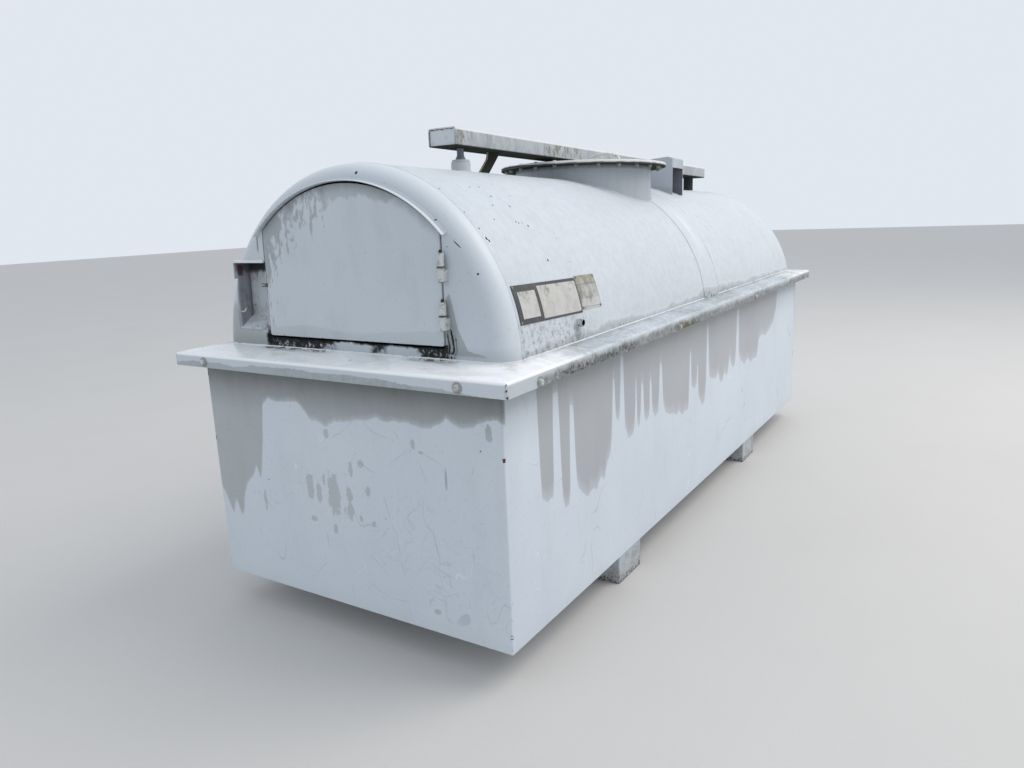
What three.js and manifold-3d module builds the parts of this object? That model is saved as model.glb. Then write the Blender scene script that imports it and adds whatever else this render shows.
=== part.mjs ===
// Bunded storage tank: a lying cylinder in a rectangular catch basin, millimetres, +Z up.
// The tank lies along Y with its pump cabinet and arched door at the -Y end.
import * as THREE from 'three';
import { mergeVertices } from 'three/addons/utils/BufferGeometryUtils.js';
import Module from 'manifold-3d';

const wasm = await Module();
wasm.setup();

// Driving dimensions
const seat = 0.3;              // running gap between two pieces that touch
const sheet = 4;               // plate of the basin and the rim cover
const shell = 5;               // plate of the tank

const basinWidth = 1290;       // outside, along X
const basinLength = 3545;      // outside, along Y
const bearerHeight = 116;      // ground to the underside of the basin
const bearerWidth = 205;
const bearerInset = 5;         // each end lies back from the basin's side
const bearerPlaces = [-896, 760];

const rimWidth = 1425;         // outside of the folded lips
const rimLength = 3694;
const lipBottom = 931;
const foldTop = 976;           // height of the outer fold
const rimRise = 17;            // the cover climbs this much towards the tank
const rimInnerHalfWidth = 620; // where the cover reaches its full height
const rimInnerHalfLength = 1694;
const foldChamfer = 6;

const radius = 625;            // tank barrel, outside
const axisHeight = 928;        // tank axis above ground, at mid length
const slope = 0.0262;          // the tank falls this much towards the rear, radians
const frontFace = -1693;       // flat of the front head, along the axis
const frontSeam = -1620;
const cabinetEnd = -1050;      // the tank proper starts here
const bulkheadInset = 8;       // from there to the plate that closes the tank
const bulkheadSheet = 6;
const rearSeam = 1640;
const rearFace = 1713;
const knuckle = 65;            // rounding of the heads
const roundSteps = 72;         // sides of the barrel
const knuckleSteps = 5;

const bandStart = 20;          // strap over the barrel's girth joint
const bandEnd = 222;
const bandThickness = 2;

const doorLeft = -370;
const doorRight = 393;
const doorBottom = 60;
const doorRadius = 560;        // arch, round the tank axis
const doorGap = 6;
const doorProud = 3;           // the door stands this far in front of the head
const doorSheet = 3;
const doorReturn = 22;         // depth of the folded edge

const mouldingInner = 567;
const mouldingOuter = 577;
const mouldingSheet = 3;
const mouldingReach = 18;
const mouldingFrom = 43.5;     // degrees from +X
const mouldingTo = 135;

const hingeX = 405;
const hingeProud = 17;         // hinge axis in front of the head's flat
const barrelRadius = 11;       // hinge barrels
const pinRadius = 4.5;
const pinRise = 9;             // the pin stands this far above the upper barrel
const barrelLength = 40;
const washerRadius = 12.5;
const washerHeight = 5.5;
const hingePlay = 0.5;
const hingePlaces = [110, 254]; // lower end of each pair of barrels
const leafReach = { inner: 8, outer: 16, frame: 12.5 };
const latch = { z: 235, height: 12, thickness: 4, outside: 23, inside: 5 };
const latchSlot = { from: 4, height: 5 };

const pocketLeft = -535;
const pocketBottom = 76;
const pocketTop = 316;
const pocketBack = -1627;
const pocketShy = 2;           // its open edge lies this far behind the head's surface
const hoodFront = -1702;       // top plate and left cheek stand out to here
const cheekBottom = 256;
const pocketSheet = 4;
const pocketFloor = { y: -1690, z: 81.5, slope: 0.66, depth: 4.8 }; // top side, rising to the rear
const pocketDrain = { x: 14, z: 80, radius: 4 };
const hook = { y: 8, z: 62, radius: 3 };

const manholeX = 25;
const manholeY = -50;
const neckRadius = 326;
const neckWall = 6;
const coverRadius = 396;
const flangeTop = 687;
const flangeThickness = 8;
const lidThickness = 8;
const handle = { x: 192, y: -170, radius: 4.5 };

const beamWidth = 126;
const beamBottom = 712;
const beamHeight = 67;
const beamWall = 4;
const beamFront = -1140;
const beamRear = 1640;
const capRecess = 4;
const capSheet = 4;

const postY = -1027;
const postRadius = 13.5;
const socketRadius = 37;
const socketTop = 661;
const rearPostY = 1505;
const rearPostRadius = 30;
const collarHeight = 9;        // collar on top of the socket
const collarRadius = 34;
const footRadius = 21;         // cone at the foot of the front post
const footHeight = 15;
const brace = { footFront: -977, footRear: -906, headFront: -842, headRear: -755, half: 4 };
const braceKnee = { y: -848, z: 685 }; // its front edge turns upright here

const cowlBox = { left: 152, right: 276, front: 492, rear: 650 };
const cowlRoof = { left: 755, ridgeX: 250, ridge: 762, right: 752 };
const cowlBand = 47;           // closed strip above the side opening

const badge = { from: -1609, to: -1212, low: 11.3, high: 22.3 };
const plate = { from: -1206, to: -1066, low: 12.0, high: 22.8 };
const badgeSheet = 2;
const plateSheet = 1.5;
const stub = { y: -1261, z: 94, radius: 13.5, bore: 10, length: 30 };

const paint = { color: 0xc3ccd6, roughness: 0.38, metalness: 0.05 };
const shadePaint = { color: 0xaab4bf, roughness: 0.42, metalness: 0.05 };
const bareSteel = { color: 0x8f8d88, roughness: 0.45, metalness: 0.8 };
const darkPaint = { color: 0x4b4f52, roughness: 0.6, metalness: 0.2 };
const wornPlate = { color: 0xb7b3a4, roughness: 0.55, metalness: 0.1 };

// Solids
function closed(geometry) {
  const bare = geometry.index ? geometry.clone() : geometry;
  bare.deleteAttribute('normal');
  bare.deleteAttribute('uv');
  bare.clearGroups();
  const merged = mergeVertices(bare, 1e-4);
  const index = Array.from(merged.index.array);
  const kept = [];
  for (let i = 0; i < index.length; i += 3) {
    const [a, b, c] = index.slice(i, i + 3);
    if (a !== b && b !== c && c !== a) kept.push(a, b, c);
  }
  merged.setIndex(kept);
  return facingOut(merged);
}

function signedVolume(geometry) {
  const points = geometry.attributes.position;
  const index = geometry.index.array;
  const [a, b, c] = [new THREE.Vector3(), new THREE.Vector3(), new THREE.Vector3()];
  let sum = 0;
  for (let i = 0; i < index.length; i += 3) {
    a.fromBufferAttribute(points, index[i]);
    b.fromBufferAttribute(points, index[i + 1]);
    c.fromBufferAttribute(points, index[i + 2]);
    sum += a.dot(b.cross(c)) / 6;
  }
  return sum;
}

function facingOut(geometry) {
  if (signedVolume(geometry) < 0) {
    const index = geometry.index.array;
    for (let i = 0; i < index.length; i += 3) {
      [index[i], index[i + 1]] = [index[i + 1], index[i]];
    }
  }
  return geometry;
}

function toSolid(geometry) {
  const ready = closed(geometry);
  const vertProperties = new Float32Array(ready.attributes.position.array);
  const triVerts = new Uint32Array(ready.index.array);
  return new wasm.Manifold(new wasm.Mesh({ numProp: 3, vertProperties, triVerts }));
}

function toGeometry(solid) {
  const mesh = solid.getMesh();
  const geometry = new THREE.BufferGeometry();
  geometry.setAttribute('position', new THREE.BufferAttribute(new Float32Array(mesh.vertProperties), 3));
  geometry.setIndex(Array.from(mesh.triVerts));
  return geometry;
}

function join(...geometries) {
  return toGeometry(geometries.map(toSolid).reduce((sum, next) => sum.add(next)));
}

function cut(geometry, ...tools) {
  return toGeometry(tools.map(toSolid).reduce((rest, tool) => rest.subtract(tool), toSolid(geometry)));
}

function common(first, second) {
  return toGeometry(toSolid(first).intersect(toSolid(second)));
}

// Plain shapes
function block(x0, x1, y0, y1, z0, z1) {
  const geometry = new THREE.BoxGeometry(x1 - x0, y1 - y0, z1 - z0);
  return geometry.translate((x0 + x1) / 2, (y0 + y1) / 2, (z0 + z1) / 2);
}

function upright(r, z0, z1, steps = 24, topRadius = r) {
  const geometry = new THREE.CylinderGeometry(topRadius, r, z1 - z0, steps);
  return geometry.rotateX(Math.PI / 2).translate(0, 0, (z0 + z1) / 2);
}

function turned(profile, steps = roundSteps) {
  return new THREE.LatheGeometry(profile.map(([r, y]) => new THREE.Vector2(r, y)), steps);
}

function outline(points) {
  return new THREE.Shape(points.map(([a, b]) => new THREE.Vector2(a, b)));
}

// A shape drawn in X and Z, standing from y0 to y1
function standing(shape, y0, y1, curveSegments = 24) {
  const geometry = new THREE.ExtrudeGeometry(shape, { depth: y1 - y0, bevelEnabled: false, curveSegments });
  return geometry.rotateX(Math.PI / 2).translate(0, y1, 0);
}

// A shape drawn in X and Y, lying from z0 to z1
function lying(shape, z0, z1) {
  const geometry = new THREE.ExtrudeGeometry(shape, { depth: z1 - z0, bevelEnabled: false });
  return geometry.translate(0, 0, z0);
}

// A shape drawn in Y and Z, reaching from x0 to x1
const yzToX = new THREE.Matrix4().set(0, 0, 1, 0, 1, 0, 0, 0, 0, 1, 0, 0, 0, 0, 0, 1);
function sideways(shape, x0, x1) {
  const geometry = new THREE.ExtrudeGeometry(shape, { depth: x1 - x0, bevelEnabled: false });
  return geometry.applyMatrix4(yzToX).translate(x0, 0, 0);
}

// Part of a ring round the tank axis, between two angles in degrees
function arcSector(inner, outer, fromDeg, toDeg, y0, y1, steps) {
  const turn = (deg) => THREE.MathUtils.degToRad(deg);
  const points = [];
  for (let i = 0; i <= steps; i += 1) {
    const angle = turn(fromDeg + (toDeg - fromDeg) * i / steps);
    points.push([outer * Math.cos(angle), outer * Math.sin(angle)]);
  }
  for (let i = steps; i >= 0; i -= 1) {
    const angle = turn(fromDeg + (toDeg - fromDeg) * i / steps);
    points.push([inner * Math.cos(angle), inner * Math.sin(angle)]);
  }
  return standing(outline(points), y0, y1);
}

// Eight-sided outline of a round rod
function rodSection(r) {
  return outline([0, 1, 2, 3, 4, 5, 6, 7].map((i) => {
    const angle = i * Math.PI / 4;
    return [r * Math.cos(angle), r * Math.sin(angle)];
  }));
}

const part = new THREE.Group();
const tank = new THREE.Group();
tank.position.set(0, 0, axisHeight);
tank.rotation.x = -slope;
tank.updateMatrix();
part.add(tank);

function add(group, name, geometry, look) {
  const mesh = new THREE.Mesh(closed(geometry), new THREE.MeshStandardMaterial(look));
  mesh.name = name;
  group.add(mesh);
}

// The tank's outer skin as one solid, a little larger, for cutting what meets it
function headCurve(face, seam, r, flatHalf, bend) {
  const towards = Math.sign(seam - face);
  const points = [[flatHalf, face]];
  for (let i = 1; i <= knuckleSteps; i += 1) {
    const angle = Math.PI / 2 * i / knuckleSteps;
    points.push([flatHalf + bend * Math.sin(angle), face + towards * bend * (1 - Math.cos(angle))]);
  }
  points.push([r, seam]);
  return points;
}

function tankEnvelope(extra) {
  const r = radius + extra;
  const front = headCurve(frontFace - extra, frontSeam, r, radius - knuckle, knuckle + extra);
  const rear = headCurve(rearFace + extra, rearSeam, r, radius - knuckle, knuckle + extra);
  return turned([[0, frontFace - extra], ...front, ...rear.reverse(), [0, rearFace + extra]]);
}

const envelope = tankEnvelope(seat);
const envelopeInPlace = envelope.clone().applyMatrix4(tank.matrix);
const bandInPlace = turned([
  [0, bandStart - seat], [radius + bandThickness + 2 * seat, bandStart - seat],
  [radius + bandThickness + 2 * seat, bandEnd + seat], [0, bandEnd + seat]]).applyMatrix4(tank.matrix);

// Basin
const halfWidth = basinWidth / 2;
const halfLength = basinLength / 2;
const sideRun = rimWidth / 2 - rimInnerHalfWidth;
const endRun = rimLength / 2 - rimInnerHalfLength;
const underSide = (x) => foldTop + rimRise * (rimWidth / 2 - x) / sideRun - sheet - 2 * seat;
const underEnd = (y) => foldTop + rimRise * (rimLength / 2 - y) / endRun - sheet - 2 * seat;
const mitreAtWall = rimLength / 2 - endRun * (rimWidth / 2 - halfWidth) / sideRun;

add(part, 'basin_floor', block(
  -halfWidth + sheet + seat, halfWidth - sheet - seat,
  -halfLength + sheet + seat, halfLength - sheet - seat,
  bearerHeight, bearerHeight + sheet), paint);

for (const [name, side] of [['basin_front_wall', -1], ['basin_rear_wall', 1]]) {
  const y = side * (halfLength - sheet / 2);
  const top = underEnd(halfLength);
  const plate = block(-halfWidth, halfWidth, y - sheet / 2, y + sheet / 2, bearerHeight, top);
  add(part, name, plate, paint);
}

for (const [name, side] of [['basin_left_wall', -1], ['basin_right_wall', 1]]) {
  const x = side * (halfWidth - sheet / 2);
  const end = halfLength - sheet - seat;
  const top = underSide(halfWidth);
  const face = outline([[-end, bearerHeight], [end, bearerHeight], [end, underEnd(end)],
    [mitreAtWall, top], [-mitreAtWall, top], [-end, underEnd(end)]]);
  add(part, name, sideways(face, x - sheet / 2, x + sheet / 2), paint);
}

['front_bearer', 'rear_bearer'].forEach((name, i) => {
  const end = halfWidth - bearerInset;
  const y = bearerPlaces[i];
  const sleeper = block(-end, end, y - bearerWidth / 2, y + bearerWidth / 2, 0, bearerHeight - seat);
  add(part, name, sleeper, shadePaint);
});

// Rim cover: four mitred strips of folded sheet, cut round the tank
function coverProfile(outer, inner) {
  const climb = rimRise / (outer - inner.full);
  const top = (x) => foldTop + climb * (outer - x);
  return [
    [outer, lipBottom],
    [outer, foldTop - foldChamfer],
    [outer - foldChamfer, top(outer - foldChamfer)],
    [inner.full, top(inner.full)],
    [inner.edge, top(inner.full)],
    [inner.edge, top(inner.full) - sheet],
    [inner.full, top(inner.full) - sheet],
    [outer - sheet - foldChamfer / 2, top(outer - foldChamfer) - sheet],
    [outer - sheet, foldTop - foldChamfer - sheet / 2],
    [outer - sheet, lipBottom],
  ];
}

function rimStrip(name, alongY, side) {
  const outer = (alongY ? rimWidth : rimLength) / 2;
  const full = alongY ? rimInnerHalfWidth : rimInnerHalfLength;
  const reach = alongY ? rimLength : rimWidth;
  const profile = coverProfile(outer, { full, edge: full - 60 });
  let strip = standing(outline(profile), -reach / 2, reach / 2);
  const cornerOut = [rimWidth / 2, rimLength / 2];
  const step = [rimWidth / 2 - rimInnerHalfWidth, rimLength / 2 - rimInnerHalfLength];
  const far = alongY ? 1.7 : 4;
  const cornerIn = [cornerOut[0] - far * step[0], cornerOut[1] - far * step[1]];
  const trim = seat / 2;
  const corners = alongY
    ? [[cornerOut[0] + 1, cornerOut[1] - trim], [cornerIn[0], cornerIn[1] - trim],
      [cornerIn[0], -cornerIn[1] + trim], [cornerOut[0] + 1, -cornerOut[1] + trim]]
    : [[cornerOut[0] - trim, cornerOut[1] + 1], [cornerIn[0] - trim, cornerIn[1]],
      [-cornerIn[0] + trim, cornerIn[1]], [-cornerOut[0] + trim, cornerOut[1] + 1]];
  if (!alongY) strip = strip.rotateZ(Math.PI / 2);
  const flip = side < 0 ? Math.PI : 0;
  const mitre = lying(outline(corners), lipBottom - 10, foldTop + rimRise + 10);
  const mitred = common(strip.rotateZ(flip), mitre.rotateZ(flip));
  add(part, name, cut(mitred, envelopeInPlace, bandInPlace), paint);
}

rimStrip('rim_right', true, 1);
rimStrip('rim_left', true, -1);
rimStrip('rim_rear', false, 1);
rimStrip('rim_front', false, -1);

// Tank shell
function tube(outer, inner, y0, y1, steps = roundSteps) {
  return turned([[outer, y0], [outer, y1], [inner, y1], [inner, y0], [outer, y0]], steps);
}

const manholeHole = upright(neckRadius - neckWall, 300, 700, 48).translate(manholeX, manholeY, 0);
const neckClear = upright(neckRadius + 2 * seat, 300, 700, 48).translate(manholeX, manholeY, 0);
add(tank, 'tank_barrel', cut(
  tube(radius, radius - shell, cabinetEnd + seat, rearSeam - seat), manholeHole), paint);
add(tank, 'cabinet_shell', tube(radius, radius - shell, frontSeam + seat, cabinetEnd), paint);
add(tank, 'barrel_band', cut(
  tube(radius + seat + bandThickness, radius + seat, bandStart, bandEnd), neckClear), paint);
const bulkheadFront = cabinetEnd + bulkheadInset;
const bulkheadBack = bulkheadFront + bulkheadSheet;
const bulkheadRadius = radius - shell - seat;
add(tank, 'cabinet_bulkhead', turned([
  [0, bulkheadFront], [bulkheadRadius, bulkheadFront],
  [bulkheadRadius, bulkheadBack], [0, bulkheadBack]]), shadePaint);

function headShell(face, seam) {
  const inwards = Math.sign(seam - face) * shell;
  const outer = headCurve(face, seam, radius, radius - knuckle, knuckle);
  const inner = headCurve(face + inwards, seam, radius - shell, radius - knuckle, knuckle - shell);
  return turned([[0, face], ...outer, ...inner.reverse(), [0, face + inwards]]);
}

function archShape(grow) {
  const left = doorLeft - grow;
  const right = doorRight + grow;
  const r = doorRadius + grow;
  const shape = new THREE.Shape();
  shape.moveTo(left, doorBottom - grow);
  shape.lineTo(right, doorBottom - grow);
  shape.absarc(0, 0, r, Math.acos(right / r), Math.acos(left / r), false);
  return shape;
}

const pocketRight = doorLeft - doorGap - seat;
const pocketHole = block(pocketLeft - seat, pocketRight + 2 * seat, frontFace - 40, frontFace + 200,
  pocketBottom - seat, pocketTop + seat);
const doorHole = standing(archShape(doorGap), frontFace - 40, frontFace + 40);
add(tank, 'front_head', cut(headShell(frontFace, frontSeam), doorHole, pocketHole), paint);
add(tank, 'rear_head', headShell(rearFace, rearSeam), paint);

// Drip moulding over the door, seated on the rounding of the head
const mouldingSeat = frontFace + 8;
const moulding = join(
  arcSector(mouldingInner, mouldingInner + mouldingSheet, mouldingFrom, mouldingTo,
    frontFace - mouldingReach, mouldingSeat, 20),
  arcSector(mouldingInner + 1, mouldingOuter, mouldingFrom, mouldingTo,
    frontFace - mouldingSheet, mouldingSeat, 20));
add(tank, 'drip_moulding', cut(moulding, envelope), paint);

// Nozzle pocket beside the door, open to the front, with a hood and a cheek that stand out
const pocketFloorAt = (y) => pocketFloor.z + pocketFloor.slope * (y - pocketFloor.y);
const pocketRear = pocketBack - pocketSheet;
const pocketShell = cut(
  block(pocketLeft, pocketRight, frontFace - 10, pocketBack, pocketBottom, pocketTop),
  sideways(outline([
    [frontFace - 20, pocketFloorAt(frontFace - 20)], [pocketRear, pocketFloorAt(pocketRear)],
    [pocketRear, pocketTop - pocketSheet], [frontFace - 20, pocketTop - pocketSheet]]),
  pocketLeft + pocketSheet, pocketRight - pocketSheet),
  sideways(outline([
    [frontFace, pocketBottom - 20], [pocketBack + 2, pocketBottom - 20],
    [pocketBack + 2, pocketFloorAt(pocketBack + 2) - pocketFloor.depth],
    [frontFace, pocketFloorAt(frontFace) - pocketFloor.depth]]),
  pocketLeft - 2, pocketRight + 2),
  standing(new THREE.Shape().absarc(
    pocketLeft + pocketDrain.x, pocketBottom + pocketDrain.z, pocketDrain.radius, 0, 2 * Math.PI, false),
  pocketBack - 20, pocketBack + 20, 4));
const hood = block(pocketLeft, pocketRight, hoodFront, pocketBack, pocketTop - pocketSheet, pocketTop);
const cheek = block(pocketLeft, pocketLeft + pocketSheet, hoodFront, pocketBack, cheekBottom, pocketTop);
const pocket = join(common(pocketShell, tankEnvelope(-pocketShy)), hood, cheek);
add(tank, 'nozzle_pocket', pocket, shadePaint);

const hookPath = new THREE.CatmullRomCurve3([
  [0, 0, 0], [14, 0, 0], [24, 0, 4], [28, 0, 14]].map((p) => new THREE.Vector3(...p)));
const hookRod = new THREE.ExtrudeGeometry(rodSection(hook.radius), { steps: 10, extrudePath: hookPath });
hookRod.translate(pocketLeft + pocketSheet + seat, frontFace + hook.y, pocketBottom + hook.z);
add(tank, 'pocket_hook', hookRod, bareSteel);

// Door with its folded edge
const doorFront = frontFace - doorProud;
const doorPlate = standing(archShape(0), doorFront, doorFront + doorSheet);
const doorEdge = cut(
  standing(archShape(0), doorFront + doorSheet / 2, doorFront + doorReturn),
  standing(archShape(-doorSheet), doorFront, doorFront + doorReturn + 1));
add(tank, 'door_panel', join(doorPlate, doorEdge), paint);

// Hinges: the upper barrel of each pair is the door's, the lower one carries the pin
const hingeY = frontFace - hingeProud;
hingePlaces.forEach((bottom, i) => {
  const label = ['lower', 'upper'][i];
  const fixedTop = bottom + barrelLength;
  const loose = fixedTop + washerHeight + hingePlay;
  const looseTop = loose + barrelLength;
  const onHinge = (geometry) => geometry.translate(hingeX, hingeY, 0);
  const fixedLeaf = block(-2, leafReach.frame, 0, hingeProud - seat, bottom + 3, fixedTop - 3);
  const fixed = join(
    upright(barrelRadius, bottom, fixedTop),
    upright(washerRadius, fixedTop - 0.5, fixedTop + washerHeight),
    upright(pinRadius, bottom + 5, looseTop + pinRise, 16),
    fixedLeaf);
  const looseLeaf = block(-leafReach.outer, -leafReach.inner, 4, hingeProud - doorProud - seat,
    loose + 3, looseTop - 3);
  const bored = cut(
    join(upright(barrelRadius, loose, looseTop), looseLeaf),
    upright(pinRadius + hingePlay, loose - 1, looseTop + 1, 16));
  add(tank, `${label}_hinge_frame_barrel`, onHinge(fixed), shadePaint);
  add(tank, `${label}_hinge_door_barrel`, onHinge(bored), shadePaint);
});

// Latch fork on the door's free edge, its slot open to the side
const tongue = block(doorLeft - latch.outside, doorLeft + latch.inside,
  doorFront - latch.thickness - seat, doorFront - seat,
  latch.z - latch.height / 2, latch.z + latch.height / 2);
const slot = block(doorLeft - latch.outside - 1, doorLeft - latchSlot.from, doorFront - 20, doorFront + 20,
  latch.z - latchSlot.height / 2, latch.z + latchSlot.height / 2);
add(tank, 'latch_tongue', cut(tongue, slot), bareSteel);

// Bare plates on the barrel's right side
function curvedPlate(size, thickness) {
  const r = radius + seat;
  return arcSector(r, r + thickness, size.low, size.high, size.from, size.to, 4);
}

add(tank, 'badge_plate', curvedPlate(badge, badgeSheet), darkPaint);
add(tank, 'data_plate', curvedPlate(plate, plateSheet), wornPlate);

// Short pipe stub below the plates
const stubPipe = cut(
  upright(stub.radius, 0, radius, 20).rotateY(Math.PI / 2),
  upright(stub.bore, 0, radius + 1, 16).rotateY(Math.PI / 2)).translate(stub.length - 6, stub.y, stub.z);
add(tank, 'drain_stub', cut(stubPipe, envelope), shadePaint);

// Manhole
const onManhole = (geometry) => geometry.translate(manholeX, manholeY, 0);
const neckTop = flangeTop - flangeThickness - seat;
const neck = cut(
  upright(neckRadius, 400, neckTop, 48),
  upright(neckRadius - neckWall, 390, neckTop + 10, 48));
add(tank, 'manhole_neck', cut(onManhole(neck), envelope), paint);
add(tank, 'manhole_flange', onManhole(cut(
  upright(coverRadius, flangeTop - flangeThickness, flangeTop, 48),
  upright(neckRadius - neckWall, flangeTop - 30, flangeTop + 10, 48))), paint);
const lidBottom = flangeTop + seat;
const lidTop = lidBottom + lidThickness;
add(tank, 'manhole_lid', onManhole(upright(coverRadius, lidBottom, lidTop, 48)), paint);

const handlePath = new THREE.CatmullRomCurve3([
  [-78, 0, 0], [-76, 0, 15], [-62, 0, 24.5], [-38, 0, 32.5], [0, 0, 37],
  [38, 0, 32.5], [62, 0, 24.5], [76, 0, 15], [78, 0, 0],
].map((p) => new THREE.Vector3(...p)));
const handleSection = rodSection(handle.radius);
const handleBar = new THREE.ExtrudeGeometry(handleSection, { steps: 24, extrudePath: handlePath });
add(tank, 'lid_handle', cut(
  onManhole(handleBar.translate(handle.x, handle.y, lidTop)),
  block(0, 500, -400, 400, lidTop - 30, lidTop + seat)), bareSteel);

// Beam along the top, its posts and its brace
const beamTop = beamBottom + beamHeight;
add(tank, 'beam', cut(
  block(-beamWidth / 2, beamWidth / 2, beamFront, beamRear, beamBottom, beamTop),
  block(-beamWidth / 2 + beamWall, beamWidth / 2 - beamWall, beamFront - 1, beamRear + 1,
    beamBottom + beamWall, beamTop - beamWall)), paint);

const capPlaces = [
  ['beam_front_cap', beamFront + capRecess],
  ['beam_rear_cap', beamRear - capRecess - capSheet]];
for (const [name, y0] of capPlaces) {
  const inset = beamWall + seat;
  add(tank, name, block(-beamWidth / 2 + inset, beamWidth / 2 - inset, y0, y0 + capSheet,
    beamBottom + inset, beamTop - inset), shadePaint);
}

const underBeam = beamBottom - seat;
const insideSkin = radius - 65;
const collarTop = socketTop + collarHeight;
add(tank, 'post_socket', cut(
  join(upright(socketRadius, insideSkin, socketTop), upright(collarRadius, socketTop - 1, collarTop))
    .translate(0, postY, 0), envelope), shadePaint);
const postFoot = collarTop + seat;
add(tank, 'beam_front_post', join(
  upright(footRadius, postFoot, postFoot + footHeight, 24, postRadius),
  upright(postRadius, postFoot + 1, underBeam)).translate(0, postY, 0), paint);
add(tank, 'beam_rear_post', cut(
  upright(rearPostRadius, insideSkin, underBeam).translate(0, rearPostY, 0), envelope), darkPaint);

const braceSide = outline([[brace.footFront, insideSkin], [brace.footRear, insideSkin],
  [brace.headRear, underBeam], [brace.headFront, underBeam], [braceKnee.y, braceKnee.z]]);
add(tank, 'beam_brace', cut(sideways(braceSide, -brace.half, brace.half), envelope), paint);

// Open-sided cowl behind the manhole, its roof bent along a ridge
function cowlShape(inset, foot) {
  return outline([
    [cowlBox.left + inset, foot], [cowlBox.right - inset, foot],
    [cowlBox.right - inset, cowlRoof.right - inset], [cowlRoof.ridgeX, cowlRoof.ridge - inset],
    [cowlBox.left + inset, cowlRoof.left - inset]]);
}

const cowlOuter = standing(cowlShape(0, 500), cowlBox.front, cowlBox.rear);
const cowlInner = standing(cowlShape(sheet, 400), cowlBox.front + sheet, cowlBox.rear - sheet);
const cowlDoor = block(cowlBox.right - 20, cowlBox.right + 20, cowlBox.front + sheet,
  cowlBox.rear - sheet, 400, cowlRoof.right - cowlBand);
add(tank, 'gauge_cowl', cut(cowlOuter, cowlInner, cowlDoor, envelope), paint);

export default part;
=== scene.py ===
# Bunded storage tank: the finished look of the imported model.
# Metres, +Z up. The door end faces -Y, and the tank falls a little towards the rear.
from math import acos, atan2, copysign, cos, exp, hypot, pi, radians, sin, sqrt

import bmesh
import bpy
from mathutils import Matrix, Vector, noise


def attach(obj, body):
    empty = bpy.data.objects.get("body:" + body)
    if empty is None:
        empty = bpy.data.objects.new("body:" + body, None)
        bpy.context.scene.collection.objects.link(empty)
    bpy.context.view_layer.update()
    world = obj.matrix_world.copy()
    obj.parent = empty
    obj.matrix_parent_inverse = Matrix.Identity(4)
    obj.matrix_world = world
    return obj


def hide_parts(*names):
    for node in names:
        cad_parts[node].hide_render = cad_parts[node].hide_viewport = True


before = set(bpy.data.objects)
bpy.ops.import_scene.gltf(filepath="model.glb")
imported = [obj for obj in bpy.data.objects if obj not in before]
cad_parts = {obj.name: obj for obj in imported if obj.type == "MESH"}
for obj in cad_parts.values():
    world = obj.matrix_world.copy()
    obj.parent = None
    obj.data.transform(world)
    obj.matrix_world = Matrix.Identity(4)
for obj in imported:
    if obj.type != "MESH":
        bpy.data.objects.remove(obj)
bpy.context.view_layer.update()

tank = {"axisHeight": 0.928, "slope": 0.0262, "radius": 0.625, "shell": 0.005, "frontFace": -1.693, "frontSeam": -1.62,
        "rearSeam": 1.64, "rearFace": 1.713, "knuckle": 0.065, "roundSteps": 160}
shaping = {"mergeDistance": 1e-6, "crease": 35, "edgeSteps": 2, "edgeAngle": 40}
fit, sunk = 0.0003, 0.004  # the play between fitted parts, and how deep the feet on the barrel reach into it
toTank = Matrix.Translation((0, 0, tank["axisHeight"])) @ Matrix.Rotation(-tank["slope"], 4, "X")

# camera, as the photo was taken
print("camera")
cameraSetup = {"place": (1.8079, -3.5282, 1.4141), "turnLeft": 0.5705, "tiltDown": 0.2154, "roll": -0.0419,
               "lens": 27.27, "sensor": 36.0}


def newObject(name, data):
    made = bpy.data.objects.new(name, data)
    bpy.context.scene.collection.objects.link(made)
    return made


def aimCamera(setup):
    turn, down, roll = setup["turnLeft"], setup["tiltDown"], setup["roll"]
    ahead = Vector((-sin(turn) * cos(down), cos(turn) * cos(down), -sin(down)))
    level = Vector((cos(turn), sin(turn), 0))
    top = level.cross(ahead)
    right = cos(roll) * level + sin(roll) * top
    up = cos(roll) * top - sin(roll) * level
    camera = newObject("photoCamera", bpy.data.cameras.new("photoCamera"))
    camera.data.lens = setup["lens"]
    camera.data.sensor_width = setup["sensor"]
    matrix = Matrix((right, up, -ahead)).transposed().to_4x4()
    matrix.translation = setup["place"]
    camera.matrix_world = matrix
    bpy.context.scene.camera = camera


aimCamera(cameraSetup)


# shapes
def loft(rings, capped=True, looped=False):
    # skins a row of rings that have the same number of points
    bm = bmesh.new()
    rows = [[bm.verts.new(point) for point in ring] for ring in rings]
    for near, far in zip(rows, rows[1:] + rows[:1] if looped else rows[1:]):
        for i in range(len(near)):
            j = (i + 1) % len(near)
            bm.faces.new((near[i], near[j], far[j], far[i]))
    if capped and not looped:
        bm.faces.new(rows[0][::-1])
        bm.faces.new(rows[-1])
    return bm


def circle(count):
    # cosine and sine of even turns
    return [(cos(2 * pi * i / count), sin(2 * pi * i / count)) for i in range(count)]


def revolve(profile, steps=48, axis="Z", centre=(0.0, 0.0), looped=False):
    # profile: (radius, place along the axis)
    rings = []
    for radius, along in profile:
        spots = [(radius * a, radius * b) for a, b in circle(steps)]
        rings.append([(a + centre[0], b + centre[1], along) if axis == "Z" else (a, along, b) for a, b in spots])
    return loft(rings, capped=False, looped=looped)


def box(low, high):
    (x0, y0, z0), (x1, y1, z1) = low, high
    return loft([[(x0, y0, z), (x1, y0, z), (x1, y1, z), (x0, y1, z)] for z in (z0, z1)])


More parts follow.
